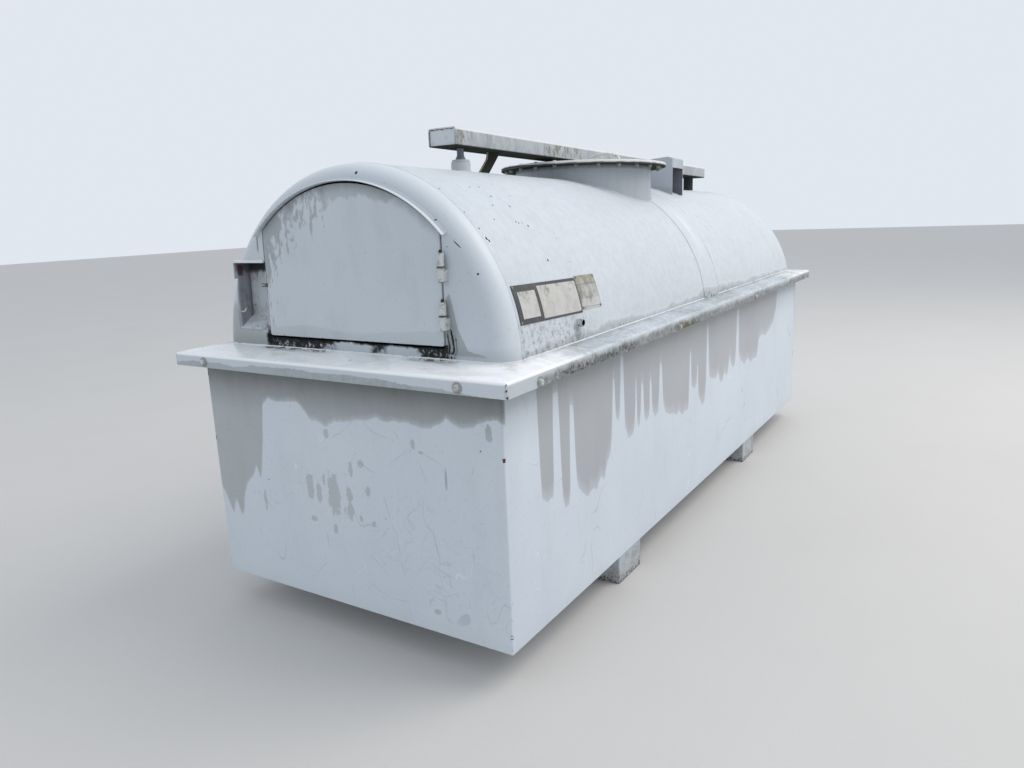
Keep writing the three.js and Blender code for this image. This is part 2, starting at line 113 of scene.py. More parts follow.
def rod(points, radius, sides):
    # a round bar that follows the points of a path
    side = (points[1] - points[0]).normalized().orthogonal().normalized()
    rings = []
    for k, point in enumerate(points):
        ahead = (points[min(k + 1, len(points) - 1)] - points[max(k - 1, 0)]).normalized()
        side = (side - side.dot(ahead) * ahead).normalized()
        other = ahead.cross(side)
        rings.append([point + radius * (a * side + b * other) for a, b in circle(sides)])
    return loft(rings)


def joinShapes(first, *others):
    for other in others:
        carrier = meshOf("joining", other)
        first.from_mesh(carrier)
        bpy.data.meshes.remove(carrier)
    return first


def smoothPath(points, steps):
    # a smooth line through a few points
    nodes = [Vector(p) for p in points]
    nodes = [2 * nodes[0] - nodes[1]] + nodes + [2 * nodes[-1] - nodes[-2]]
    line = []
    for k in range(1, len(nodes) - 2):
        a, b, c, d = nodes[k - 1:k + 3]
        for i in range(steps):
            t = i / steps
            line.append(0.5 * ((2 * b) + (c - a) * t + (2 * a - 5 * b + 4 * c - d) * t * t
                               + (3 * b - a - 3 * c + d) * t ** 3))
    line.append(nodes[-2])
    return line


def settle(bm, matrix=Matrix()):
    # merges points that meet, moves the shape and turns its faces outwards
    bmesh.ops.remove_doubles(bm, verts=bm.verts, dist=shaping["mergeDistance"])
    bm.transform(matrix)
    bmesh.ops.recalc_face_normals(bm, faces=bm.faces)


def meshOf(name, bm):
    mesh = bpy.data.meshes.new(name)
    bm.to_mesh(mesh)
    bm.free()
    return mesh


def addPiece(name, bm, material, replaced=(), body="root", inTank=True, crease=shaping["crease"], edge=0.0):
    settle(bm, toTank if inTank else Matrix())
    for face in bm.faces:
        face.smooth = True
    if not edge:
        for line in bm.edges:
            line.smooth = len(line.link_faces) == 2 and line.calc_face_angle(0) < radians(crease)
    mesh = meshOf(name, bm)
    mesh.materials.append(material)
    piece = newObject(name, mesh)
    if edge:
        rounding = piece.modifiers.new("edge", "BEVEL")
        rounding.width = edge
        rounding.segments = shaping["edgeSteps"]
        rounding.limit_method = "ANGLE"
        rounding.angle_limit = radians(shaping["edgeAngle"])
        rounding.harden_normals = True
    if replaced:
        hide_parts(*replaced)
    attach(piece, body)
    return piece


def recoat(node, material):
    # dresses a solid of the model that stays as it is
    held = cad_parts[node].data.materials
    held.clear()
    held.append(material)


def cutShape(bm, *tools, how="DIFFERENCE"):
    # takes the tools out of a closed shape, or joins them to it
    held = []
    for shape in (bm, *tools):
        settle(shape)
        held.append(newObject("cutting", meshOf("cutting", shape)))
    base = held[0]
    for other in held[1:]:
        step = base.modifiers.new("cut", "BOOLEAN")
        step.operation = how
        step.solver = "EXACT"
        step.object = other
    result = bmesh.new()
    result.from_mesh(base.evaluated_get(bpy.context.evaluated_depsgraph_get()).data)
    for used in held:
        bpy.data.objects.remove(used)
    return result


# shader building
def addNode(tree, kind, links=None, **settings):
    node = tree.nodes.new(kind)
    for name, value in settings.items():
        setattr(node, name, value)
    for socket, value in (links or {}).items():
        target = node.inputs[socket]
        if isinstance(value, bpy.types.NodeSocket):
            tree.links.new(value, target)
        else:
            target.default_value = value
    return node


def output(tree, kind, links=None, **settings):
    return addNode(tree, kind, links, **settings).outputs[0]


# the coat that is being made: it collects its layers here, and sealCoat turns them into a shader
coat = {}


def startCoat(name, colour, roughness, tilted=True):
    material = bpy.data.materials.new(name)
    material.use_nodes = True
    tree = material.node_tree
    tree.nodes.clear()
    place = addNode(tree, "ShaderNodeTexCoord").outputs["Object"]
    if tilted:
        links = {0: place, 1: (0, 0, tank["axisHeight"]), 2: (-tank["slope"], 0, 0)}
        place = output(tree, "ShaderNodeMapping", links, vector_type="TEXTURE")
    parts = tuple(addNode(tree, "ShaderNodeSeparateXYZ", {0: place}).outputs)
    coat.update({"material": material, "tree": tree, "place": place, "parts": parts, "colour": (*colour, 1),
                 "roughness": roughness, "height": 0.0, "metal": 0.0})


def calc(how, a, b=0.0, c=0.0):
    # a sum in the node tree that its inputs come from
    tree = next(value for value in (a, b, c) if isinstance(value, bpy.types.NodeSocket)).id_data
    return output(tree, "ShaderNodeMath", {0: a, 1: b, 2: c}, operation=how)


def plus(a, b):
    return calc("ADD", a, b)


def minus(a, b):
    return calc("SUBTRACT", a, b)


def scaled(value, factor, more):
    return calc("MULTIPLY_ADD", value, factor, more)


def unsigned(value):
    return calc("ABSOLUTE", value)


def times(first, *others):
    for other in others:
        first = calc("MULTIPLY", first, other)
    return first


def either(first, *others):
    for other in others:
        first = calc("MAXIMUM", first, other)
    return first


def band(value, low, high):
    # 0 below low, 1 above high, or the other way round when low is the larger
    flip = low > high
    links = {"Value": value, "From Min": min(low, high), "From Max": max(low, high), "To Min": float(flip),
             "To Max": float(not flip)}
    return output(value.id_data, "ShaderNodeMapRange", links, interpolation_type="SMOOTHSTEP")


def between(value, low, high, soft):
    return times(band(value, low - soft, low + soft), band(value, high + soft, high - soft))


def lengthOf(vector):
    return addNode(vector.id_data, "ShaderNodeVectorMath", {0: vector}, operation="LENGTH").outputs["Value"]


def fromAxis():
    # distance from the axis of the tank
    x, _, z = coat["parts"]
    return lengthOf(output(coat["tree"], "ShaderNodeCombineXYZ", {0: x, 2: z}))


def moved(shift, stretch):
    return output(coat["tree"], "ShaderNodeMapping", {0: coat["place"], 1: shift, 3: stretch})


def cloud(scale, detail=4.0, roughness=0.55, stretch=(1, 1, 1), shift=(0, 0, 0), distortion=0.0):
    links = {"Vector": moved(shift, stretch), "Scale": scale, "Detail": detail, "Roughness": roughness,
             "Distortion": distortion}
    return output(coat["tree"], "ShaderNodeTexNoise", links)


def patches(scale, low, high, *rest, **more):
    # a cloud, cut off between two of its values
    return band(cloud(scale, *rest, **more), low, high)


def specks(scale, size, shift):
    # small round dots, one in some of the cells
    cells = addNode(coat["tree"], "ShaderNodeTexVoronoi", {"Vector": moved(shift, (1, 1, 1)), "Scale": scale})
    chance = output(coat["tree"], "ShaderNodeSeparateColor", {0: cells.outputs["Color"]})
    return band(calc("DIVIDE", cells.outputs["Distance"], times(chance, size)), 1.0, 0.6)


def drawnLine(along, start, end, points):
    # the height of a drawn line above a place along a face; heights are from 0 to 1 m
    node = addNode(along.id_data, "ShaderNodeFloatCurve", {"Value": times(minus(along, start), 1 / (end - start))})
    curve = node.mapping.curves[0]
    spots = [((place - start) / (end - start), height) for place, height in points]
    curve.points[0].location, curve.points[1].location = spots[0], spots[-1]
    for spot in spots[1:-1]:
        curve.points.new(*spot)
    for point in curve.points:
        point.handle_type = "VECTOR"
    node.mapping.update()
    return node.outputs[0]


def lay(mask, colour=None, roughness=None, how="MIX"):
    # a layer of colour and roughness; masks in brackets are multiplied
    if isinstance(mask, tuple):
        mask = times(*mask)
    if colour is not None:
        shade = colour if isinstance(colour, bpy.types.NodeSocket) else (*colour, 1)
        coat["colour"] = addNode(coat["tree"], "ShaderNodeMix", {0: mask, 6: coat["colour"], 7: shade},
                                 data_type="RGBA", blend_type=how).outputs[2]
    if roughness is not None:
        coat["roughness"] = output(coat["tree"], "ShaderNodeMix", {0: mask, 2: coat["roughness"], 3: roughness},
                                   data_type="FLOAT")


def tint(mask, colour, roughness=None):
    lay(mask, colour, roughness, how="MULTIPLY")


def swell(mask, amount):
    coat["height"] = scaled(mask, amount, coat["height"])


def sealCoat():
    tree = coat["tree"]
    links = {"Base Color": coat["colour"], "Roughness": coat["roughness"], "Metallic": coat["metal"]}
    if isinstance(coat["height"], bpy.types.NodeSocket):
        links["Normal"] = output(tree, "ShaderNodeBump", {"Strength": 1.0, "Distance": 1.0, "Height": coat["height"]})
    if isinstance(coat["roughness"], bpy.types.NodeSocket):
        # mould and the black painted shadows are too dull to shine
        links["Specular IOR Level"] = times(band(coat["roughness"], 0.9, 0.6), 0.5)
    addNode(tree, "ShaderNodeOutputMaterial", {0: output(tree, "ShaderNodeBsdfPrincipled", links)})
    return coat["material"]


# paint that every sheet of the tank carries
paint = {"colour": (0.6, 0.655, 0.705), "roughness": 0.42, "wetShade": (0.685, 0.675, 0.635), "wetRoughness": 0.28,
         "grime": (0.075, 0.078, 0.07), "mould": (0.012, 0.013, 0.013), "lichen": (0.2, 0.215, 0.16),
         "rust": (0.085, 0.038, 0.024), "pale": (0.8, 0.83, 0.85)}


def startPaint(name, colour=paint["colour"], tilted=True):
    startCoat(name, colour, paint["roughness"], tilted)
    tint(patches(1.6, 0.3, 0.75, 3), (0.93, 0.94, 0.95))
    tint(patches(7, 0.5, 0.8, 5, stretch=(1, 1, 0.35)), (0.93, 0.935, 0.935))
    tint(patches(95, 0.58, 0.78, 3), (0.86, 0.86, 0.84), 0.5)
    swell(cloud(2.4, 2), 0.0016)
    swell(cloud(380, 2), 0.00006)


def addLichen(mask, strength=1.0):
    # grey-green growth in spots of two sizes
    coarse = patches(28, 0.46, 0.62, 6, 0.7)
    fine = patches(120, 0.45, 0.6, 4, 0.7)
    growth = times(mask, either(coarse, times(fine, 0.6)), strength)
    lay(growth, paint["lichen"], 0.85)
    dark = times(mask, patches(60, 0.58, 0.7, 6, 0.75, shift=(3, 1, 7)))
    lay((dark, 0.8 * strength), paint["grime"], 0.9)
    swell(growth, 0.0006)


# catch basin
print("basin")
basin = {"halfWidth": 0.645, "halfLength": 1.7725, "bottom": 0.116, "top": 0.9795, "sheet": 0.004, "corner": 0.005,
         "cornerSteps": 3, "stepsAcross": 14, "stepsAlong": 34, "rows": 12, "buckle": 0.0012, "ease": 0.0012,
         "calm": 0.15, "footCalm": 0.1, "frontPart": (-1.7725, -0.45), "rearPart": (-0.45, 1.7725)}

frontDamp = [(-.645, .46), (-.62, .42), (-.605, .385), (-.59, .35), (-.575, .4), (-.56, .405), (-.545, .352),
             (-.53, .37), (-.515, .44), (-.49, .49), (-.455, .515), (-.43, .565), (-.415, .51), (-.395, .585),
             (-.375, .7), (-.362, .8), (-.328, .825), (-.295, .81), (-.253, .821), (-.184, .824), (-.159, .799),
             (-.134, .77), (-.101, .767), (-.066, .75), (-.018, .769), (.028, .778), (.121, .794), (.169, .809),
             (.193, .799), (.246, .802), (.302, .801), (.386, .795), (.422, .815), (.445, .836), (.466, .82),
             (.495, .811), (.541, .816), (.567, .831), (.592, .845), (.626, .846), (.645, .833)]
sideDampFront = [(-1.7725, .99), (-1.585, .99), (-1.575, .62), (-1.57, .55), (-1.54, .525), (-1.5, .53), (-1.494, .56),
                 (-1.486, .86), (-1.45, .86), (-1.438, .5), (-1.42, .46), (-1.395, .47), (-1.385, .52), (-1.377, .8),
                 (-1.35, .8), (-1.341, .55), (-1.325, .5), (-1.3, .475), (-1.26, .45), (-1.235, .465), (-1.19, .455),
                 (-1.15, .49), (-1.13, .47), (-1.1, .53), (-1.07, .56), (-1.055, .66), (-1.045, .82), (-1.032, .82),
                 (-1.025, .67), (-1.0, .66), (-.985, .7), (-.978, .89), (-.955, .89), (-.945, .62), (-.91, .57),
                 (-.87, .575), (-.85, .62), (-.843, .78), (-.835, .78), (-.83, .6), (-.81, .585), (-.795, .64),
                 (-.788, .76), (-.77, .74), (-.762, .61), (-.74, .59), (-.71, .61), (-.7, .76), (-.688, .74),
                 (-.68, .62), (-.65, .585), (-.615, .6), (-.605, .68), (-.595, .8), (-.575, .78), (-.56, .62),
                 (-.53, .57), (-.49, .56), (-.45, .555)]
sideDampRear = [(-.45, .555), (-.4, .53), (-.37, .545), (-.33, .515), (-.29, .53), (-.255, .52), (-.245, .6),
                (-.24, .78), (-.225, .78), (-.215, .62), (-.18, .6), (-.145, .62), (-.138, .7), (-.128, .7),
                (-.12, .56), (-.07, .5), (-.03, .515), (-.015, .6), (-.008, .86), (.012, .86), (.03, .62), (.08, .6),
                (.13, .585), (.17, .61), (.2, .56), (.23, .545), (.27, .59), (.32, .57), (.345, .62), (.355, .68),
                (.37, .62), (.41, .59), (.45, .6), (.465, .7), (.47, .88), (.5, .88), (.512, .64), (.56, .6),
                (.62, .57), (.68, .59), (.74, .56), (.8, .575), (.86, .56), (.885, .6), (.9, .66), (.95, .68),
                (1.0, .67), (1.05, .66), (1.1, .68), (1.17, .7), (1.24, .74), (1.28, .8), (1.3, .99), (1.7725, .99)]
dampSpots = [(-.06, .727, .012, .016), (-.16, .525, .017, .05), (-.121, .51, .012, .039), (-.051, .513, .028, .073),
             (.037, .615, .009, .025), (.023, .526, .014, .025), (.022, .473, .014, .034), (.107, .55, .011, .019),
             (.122, .442, .009, .011), (-.155, .412, .013, .011), (-.056, .394, .01, .017), (-.4, .439, .008, .038),
             (.31, .737, .009, .016), (.337, .715, .012, .006), (.431, .639, .004, .034), (.594, .804, .013, .025),
             (.083, .643, .013, .012), (-.091, .561, .007, .022), (.366, .189, .016, .009), (.066, .451, .007, .011)]

# marks scraped into the front wall: start, end, and width as a share of 4.4 mm
scrapes = [(.331, .717, .43, .678, .6), (.43, .676, .433, .61, 2.2), (.174, .562, .196, .464, .8),
           (.196, .464, .221, .417, .8), (.217, .422, .225, .343, 1.), (.225, .343, .241, .277, .8),
           (.37, .474, .388, .355, 1.3), (.35, .547, .373, .516, .8), (.326, .684, .362, .616, .7),
           (.26, .485, .298, .529, .9), (.097, .333, .18, .26, .7), (.122, .347, .169, .298, .6),
           (-.094, .373, -.099, .321, 1.1), (.059, .656, .154, .612, 1.1), (.295, .723, .202, .654, .6),
           (.537, .705, .527, .659, .7), (.518, .433, .52, .382, .9), (.241, .772, .254, .741, 1.),
           (.34, .354, .469, .305, .8), (.424, .43, .47, .395, .5), (.06, .235, .159, .188, .6),
           (.159, .188, .276, .2, .6), (-.005, .201, .004, .157, .8), (.15, .395, .182, .441, 1.),
           (.417, .328, .429, .272, .7), (.361, .361, .37, .306, .5), (.349, .459, .321, .409, .5),
           (-.212, .166, -.091, .275, .5), (.281, .286, .342, .368, .5), (-.034, .349, -.01, .293, .5),
           (.065, .475, .079, .407, .5)]


def nearestMark(place, marks):
    # marks: centre, turn round Y or X, size; gives the distance to the nearest as a share of its size
    nearest = None
    for centre, turn, size in marks:
        local = output(place.id_data, "ShaderNodeMapping", {0: place, 1: centre, 2: turn, 3: size},
                       vector_type="TEXTURE")
        reach = lengthOf(local)
        nearest = reach if nearest is None else calc("MINIMUM", nearest, reach)
    return nearest


def markField(axes, marks):
    # how far each place is from the nearest mark, as a share of that mark's size; marks: place, one or two sizes
    rounds = []
    for first, second, *sizes in marks:
        centre, span = [0.0, 0.0, 0.0], [1000.0, 1000.0, 1000.0]
        centre[axes[0]], centre[axes[1]] = first, second
        span[axes[0]], span[axes[1]] = sizes[0], sizes[-1]
        rounds.append((centre, (0, 0, 0), span))
    return nearestMark(coat["place"], rounds)


scrape = {"halfWidth": 0.0022, "fade": 0.004, "bendScale": 9.0}


def scrapeField():
    marks = []
    for x0, z0, x1, z1, width in scrapes:
        size = (hypot(x1 - x0, z1 - z0) / 2 + scrape["fade"], 1000.0, scrape["halfWidth"] * width)
        marks.append((((x0 + x1) / 2, 0, (z0 + z1) / 2), (0, -atan2(z1 - z0, x1 - x0), 0), size))
    tree, place = coat["tree"], coat["place"]
    bends = addNode(tree, "ShaderNodeTexNoise", {"Vector": place, "Scale": scrape["bendScale"]}).outputs["Color"]
    shift = output(tree, "ShaderNodeVectorMath", {0: bends, 1: (0.02, 0.02, 0.02), 2: (-0.01, -0.01, -0.01)},
                   operation="MULTIPLY_ADD")
    return nearestMark(output(tree, "ShaderNodeVectorMath", {0: place, 1: shift}, operation="ADD"), marks)


def addScratches(mask, colour, sets):
    # fine bent lines where a stretched noise passes its middle value, broken up by a second noise
    for scale, stretch, shift, width in sets:
        value = cloud(scale, 2, stretch=stretch, shift=shift, distortion=0.8)
        offset = unsigned(minus(value, 0.5))
        kept = patches(3.4, 0.53, 0.6, 3, shift=(shift[1], shift[2], shift[0]))
        tint((mask, band(offset, width, width * 0.35), kept), colour)


def softEdge(over, fade):
    # a clear edge first, and the rest of the change over a longer way
    return scaled(band(over, -0.004, 0.005), 0.62, times(band(over, 0.0, fade), 0.38))


def makeBasinPaint():
    startPaint("basinPaint", (0.65, 0.707, 0.765), tilted=False)
    x, y, z = coat["parts"]
    onFront = band(y, -1.755, -1.765)
    onSide = band(x, 0.635, 0.642)
    onLeft = band(x, -0.635, -0.642)
    onRear = band(y, 1.755, 1.765)
    drift = scaled(cloud(22, 3, stretch=(1, 1, 0.5)), 0.034, -0.017)
    level = plus(z, drift)
    frontEdge = drawnLine(x, -basin["halfWidth"], basin["halfWidth"], frontDamp)
    wetFront = times(onFront, softEdge(minus(level, frontEdge), 0.022))
    spots = plus(markField((0, 2), dampSpots), scaled(cloud(55, 4), 1.7, -0.85))
    wetFront = either(wetFront, times(onFront, band(spots, 1.1, 0.85), 0.75))
    sideEdge = either(times(drawnLine(y, *basin["frontPart"], sideDampFront), band(y, -0.449, -0.451)),
                      times(drawnLine(y, *basin["rearPart"], sideDampRear), band(y, -0.451, -0.449)))
    wetSide = times(onSide, softEdge(minus(level, sideEdge), 0.06))
    ragged = scaled(cloud(7, 5, stretch=(1, 1, 0.12)), 0.62, 0.38)
    wetBack = times(either(onLeft, onRear), band(minus(level, ragged), -0.003, 0.004))
    wet = either(wetFront, wetBack)
    tint(wet, paint["wetShade"])
    tint(wetSide, (0.635, 0.602, 0.582))
    # painted shade under the lip: the wet front is painted darker towards the top, where it is also wetter, and the
    # whole side is painted darker towards the top
    tint((wetFront, band(level, 0.74, 0.96)), (0.42, 0.43, 0.425))
    tint((onSide, band(level, 0.7, 0.97)), (0.78, 0.78, 0.765))
    lay(either(wet, wetSide), roughness=paint["wetRoughness"])
    dry = minus(1.0, either(wet, wetSide))
    addScratches(times(dry, band(z, 0.1, 0.2)), (0.8, 0.815, 0.83),
                 [(3.1, (1, 1, 0.45), (0, 0, 0), 0.0045), (2.3, (1, 1, 0.6), (4, 2, 9), 0.003)])
    addScratches(dry, (1.16, 1.15, 1.14), [(4.3, (1, 1, 0.5), (7, 5, 3), 0.0022)])
    addScratches(times(dry, onFront, band(x, 0.05, 0.2), band(z, 0.62, 0.5)), (0.86, 0.87, 0.88),
                 [(5.2, (1, 1, 0.7), (3, 1, 5), 0.006), (7.5, (0.6, 1, 1), (8, 3, 1), 0.005)])
    scraped = band(scrapeField(), 1.15, 0.3)
    tint((scraped, onFront, 0.75), (0.7, 0.715, 0.73))
    # painted shade under the lip on all walls, with some grime
    lipShadeAndGrime = band(scaled(cloud(9, 4), 0.08, z), 0.88, 0.985)
    tint((lipShadeAndGrime, 0.9), (0.76, 0.76, 0.74))
    splash = band(scaled(cloud(5, 5), 0.12, z), 0.235, 0.15)
    tint((splash, 0.5), (0.9, 0.885, 0.86), 0.6)
    # chips down the folded corners, bare and rusty
    offCorner = plus(minus(basin["halfWidth"], unsigned(x)), minus(basin["halfLength"], unsigned(y)))
    chip = times(band(scaled(cloud(60, 3), 0.014, offCorner), 0.0165, 0.012),
                 patches(17, 0.625, 0.65, 3, stretch=(0.05, 0.05, 1), shift=(0, 0, 0.4)))
    lay(chip, paint["rust"], 0.8)
    # small dark pits
    lay(specks(7.5, 0.05, shift=(0.3, 0.1, 0.6)), (0.07, 0.065, 0.06), 0.7)
    return sealCoat()


def basinRing(z, inset):
    # once round the basin, with close points at the folded corners
    hx, hy, r = basin["halfWidth"] - inset, basin["halfLength"] - inset, max(basin["corner"] - inset, basin["ease"])
    ring = []
    sides = [((1, 0), hx, hy, basin["stepsAlong"]), ((0, 1), hy, hx, basin["stepsAcross"]),
             ((-1, 0), hx, hy, basin["stepsAlong"]), ((0, -1), hy, hx, basin["stepsAcross"])]
    for (nx, ny), out, run, steps in sides:
        tx, ty = -ny, nx
        spots = [(out, (2 * i / steps - 1) * (run - r)) for i in range(steps + 1)]
        for k in range(1, basin["cornerSteps"]):
            angle = pi / 2 * k / basin["cornerSteps"]
            spots.append((out - r + r * cos(angle), run - r + r * sin(angle)))
        ring += [Vector((nx * a + tx * b, ny * a + ty * b, z)) for a, b in spots]
    for point in ring:
        # flat sheets are never quite flat between the corners
        calm = min(1, (hx - abs(point.x)) / basin["calm"] + (hy - abs(point.y)) / basin["calm"])
        bend = noise.noise(Vector((point.x * 2.1, point.y * 1.6, z * 2.3))) * basin["buckle"] * calm
        bend *= min(1, (z - basin["bottom"]) / basin["footCalm"])
        if hx - abs(point.x) < hy - abs(point.y):
            point.x += bend
        else:
            point.y += bend
    return ring


def makeBasin():
    low, high, sheet, ease = basin["bottom"], basin["top"], basin["sheet"], basin["ease"]
    rings = [basinRing(low, ease), basinRing(low + ease, 0)]
    rings += [basinRing(low + (high - low) * (k + 0.3) / basin["rows"], 0) for k in range(basin["rows"])]
    rings += [basinRing(high, 0), basinRing(high, sheet), basinRing(low, sheet)]
    return loft(rings, looped=True)


basinPaint = makeBasinPaint()
walls = ["basin_front_wall", "basin_rear_wall", "basin_left_wall", "basin_right_wall"]
addPiece("basinWalls", makeBasin(), basinPaint, walls, inTank=False)
recoat("basin_floor", basinPaint)

bearer = {"halfLength": 0.64, "width": 0.205, "height": 0.1157, "places": {"front": -0.896, "rear": 0.76},
          "edge": 0.005}


def makeBearerPaint():
    startPaint("bearerPaint", (0.455, 0.49, 0.515), tilted=False)
    z = coat["parts"][2]
    tint(patches(13, 0.46, 0.66, 6), (0.91, 0.905, 0.89))
    # splashes of soil, thickest at the ground
    height = scaled(z, 3.2, cloud(85, 5, 0.75))
    lay((band(height, 0.56, 0.49), 0.85), (0.105, 0.08, 0.06), 0.85)
    film = scaled(z, 1.2, cloud(20, 6, 0.7, shift=(2, 1, 5)))
    tint((band(film, 0.62, 0.48), 0.6), (0.68, 0.65, 0.61), 0.7)
    return sealCoat()


bearerPaint = makeBearerPaint()
for end, place in bearer["places"].items():
    half = bearer["width"] / 2
    shape = box((-bearer["halfLength"], place - half, 0), (bearer["halfLength"], place + half, bearer["height"]))
    addPiece(f"{end}Bearer", shape, bearerPaint, [f"{end}_bearer"], inTank=False, edge=bearer["edge"])

# rim cover, one folded sheet round the tank
print("rim cover")
rim = {"halfWidth": 0.7125, "halfLength": 1.847, "lipBottom": 0.931, "foldTop": 0.976, "rise": 0.017,
       "sideRun": 0.0925, "endRun": 0.153, "sheet": 0.004, "fold": 0.011, "corner": 0.006, "buckle": 0.0022,
       "stepsSide": 44, "stepsEnd": 20, "inwards": 6, "foldSteps": 5, "bedding": 0.0025, "cornerFan": 0.075,
       "sway": 0.0011, "lipStep": 0.016, "levelFrom": 0.8, "levelOver": 0.2}

# where the bolts of the lip are, and the height and size of the dark ring round them
lipBoltPlaces = {"end": (-0.553, 0.548), "side": (-1.674, -0.556, 0.556, 1.695)}
boltMark = {"end": (0.951, 0.0165), "side": (0.945, 0.0165)}
lipDamp = [(-.7125, .944), (-.62, .952), (-.47, .953), (-.4, .944), (-.34, .949), (-.3, .955), (-.12, .958),
           (.0, .953), (.15, .956), (.3, .951), (.42, .941), (.48, .944), (.55, .938), (.62, .931), (.7125, .931)]


def coverHeight(x, y):
    side = (rim["halfWidth"] - abs(x)) / rim["sideRun"]
    end = (rim["halfLength"] - abs(y)) / rim["endRun"]
    climb = max(0.0, min(side, end))
    start, way = rim["levelFrom"], rim["levelOver"]
    climb = climb if climb < start else 1 - way * exp(-(climb - start) / way)
    return rim["foldTop"] + rim["rise"] * climb


def tankPlan(alongTank, radius):
    # where the tank's skin passes the height of the cover
    over = rim["foldTop"] + rim["rise"] - tank["axisHeight"]
    slope = tank["slope"]
    rise = (over + alongTank * sin(slope)) / cos(slope)
    return sqrt(max(radius * radius - rise * rise, 0)), alongTank * cos(slope) + rise * sin(slope)


def coverSpokes():
    # pairs of an outer place on the rim and an inner place on the tank, for the quarter at +X, front and rear
    wide, long, cut = rim["halfWidth"], rim["halfLength"], rim["corner"]
    bend, deep = tank["knuckle"], rim["bedding"]
    skinRadius, flat = tank["radius"] - deep, tank["radius"] - bend
    ends, half = rim["stepsEnd"] // 2, rim["stepsSide"] // 2
    spokes = []
    for sign, face in ((-1, tank["frontFace"]), (1, tank["rearFace"])):
        edge = tankPlan(face - sign * deep, 2.0)[1]
        quarter = [((wide - rim["cornerFan"]) * i / ends, sign * long, flat * i / ends,
                    edge) for i in range(ends + 1)]
        for i in range(1, 9):
            angle = pi / 2 * i / 9
            inner = tankPlan(face - sign * (bend - (bend - deep) * cos(angle)), flat + (bend - deep) * sin(angle))
            if i < 4:
                outer = [(wide - rim["cornerFan"] + 0.055 * (i / 4), sign * long)]
            elif i == 4:
                outer = [(wide - cut, sign * long), (wide - cut * 0.3, sign * (long - cut * 0.3)),
                         (wide, sign * (long - cut))]
            else:
                outer = [(wide, sign * (long - 0.025 - 0.09 * ((i - 4) / 5)))]
            quarter += [(*place, *inner) for place in outer]
        start = abs(face) - bend
        quarter += [(wide, sign * (long - 0.125) * (1 - i / half),
                     *tankPlan(sign * (start * (1 - i / half)), skinRadius)) for i in range(half)]
        spokes.append(quarter)
    front, rear = spokes
    right = front + [(wide, 0.0, *tankPlan(0.0, skinRadius))] + rear[::-1]
    left = [(-a, b, -c, d) for a, b, c, d in right[::-1]]
    return right + left[1:-1]


def insetPlace(outer, inset):
    # moves in from the outer edge, square to it, and along the mitre at a corner
    x, y = outer
    wide, long, hair = rim["halfWidth"], rim["halfLength"], 1e-9
    if abs(x) >= wide - rim["corner"] - hair and abs(y) >= long - rim["corner"] - hair:
        return copysign(min(abs(x), wide - inset), x), copysign(min(abs(y), long - inset), y)
    if abs(abs(y) - long) < hair:
        return x, copysign(long - inset, y)
    return copysign(wide - inset, x), y


def makeCover():
    spokes = coverSpokes()
    fold, sheet, low = rim["fold"], rim["sheet"], rim["lipBottom"]
    foot = rim["foldTop"] - fold - 0.004

    def ringAt(inset, z):
        return [Vector((*insetPlace(spoke[:2], inset), z)) for spoke in spokes]

    def foldRing(k, depth):
        radius, angle = fold - depth, pi / 2 * k / rim["foldSteps"]
        ring = []
        for spoke in spokes:
            top = coverHeight(*insetPlace(spoke[:2], fold))
            ring.append((*insetPlace(spoke[:2], fold - radius * cos(angle)), top - fold + radius * sin(angle)))
        return ring

    def topRing(share, depth):
        ring = []
        for spoke in spokes:
            flat = Vector(insetPlace(spoke[:2], fold)).lerp(Vector(spoke[2:]), share)
            wave = noise.noise(Vector((flat.x * 3.1, flat.y * 2.7, 4.0))) * rim["buckle"] * sin(pi * share)
            ring.append((flat.x, flat.y, coverHeight(*flat) + wave - depth))
        return ring

    def lipRing(z, depth):
        ring = ringAt(depth, z)
        for point in ring:
            sway = noise.noise(Vector((point.x * 2.6, point.y * 2.2, 9.0))) * rim["sway"]
            if rim["halfWidth"] - abs(point.x) < rim["halfLength"] - abs(point.y):
                point.x -= abs(sway) * copysign(1, point.x)
            else:
                point.y -= abs(sway) * copysign(1, point.y)
        return ring

    shares = [k / rim["inwards"] for k in range(rim["inwards"] + 1)]
    turns = range(rim["foldSteps"] + 1)
    rings = [lipRing(low, 0), lipRing(low + rim["lipStep"], 0), ringAt(0, foot)]
    rings += [foldRing(k, 0) for k in turns] + [topRing(share, 0) for share in shares[1:]]
    rings += [topRing(share, sheet) for share in shares[:0:-1]] + [foldRing(k, sheet) for k in turns[::-1]]
    return loft(rings + [ringAt(sheet, foot), lipRing(low, sheet)], looped=True)


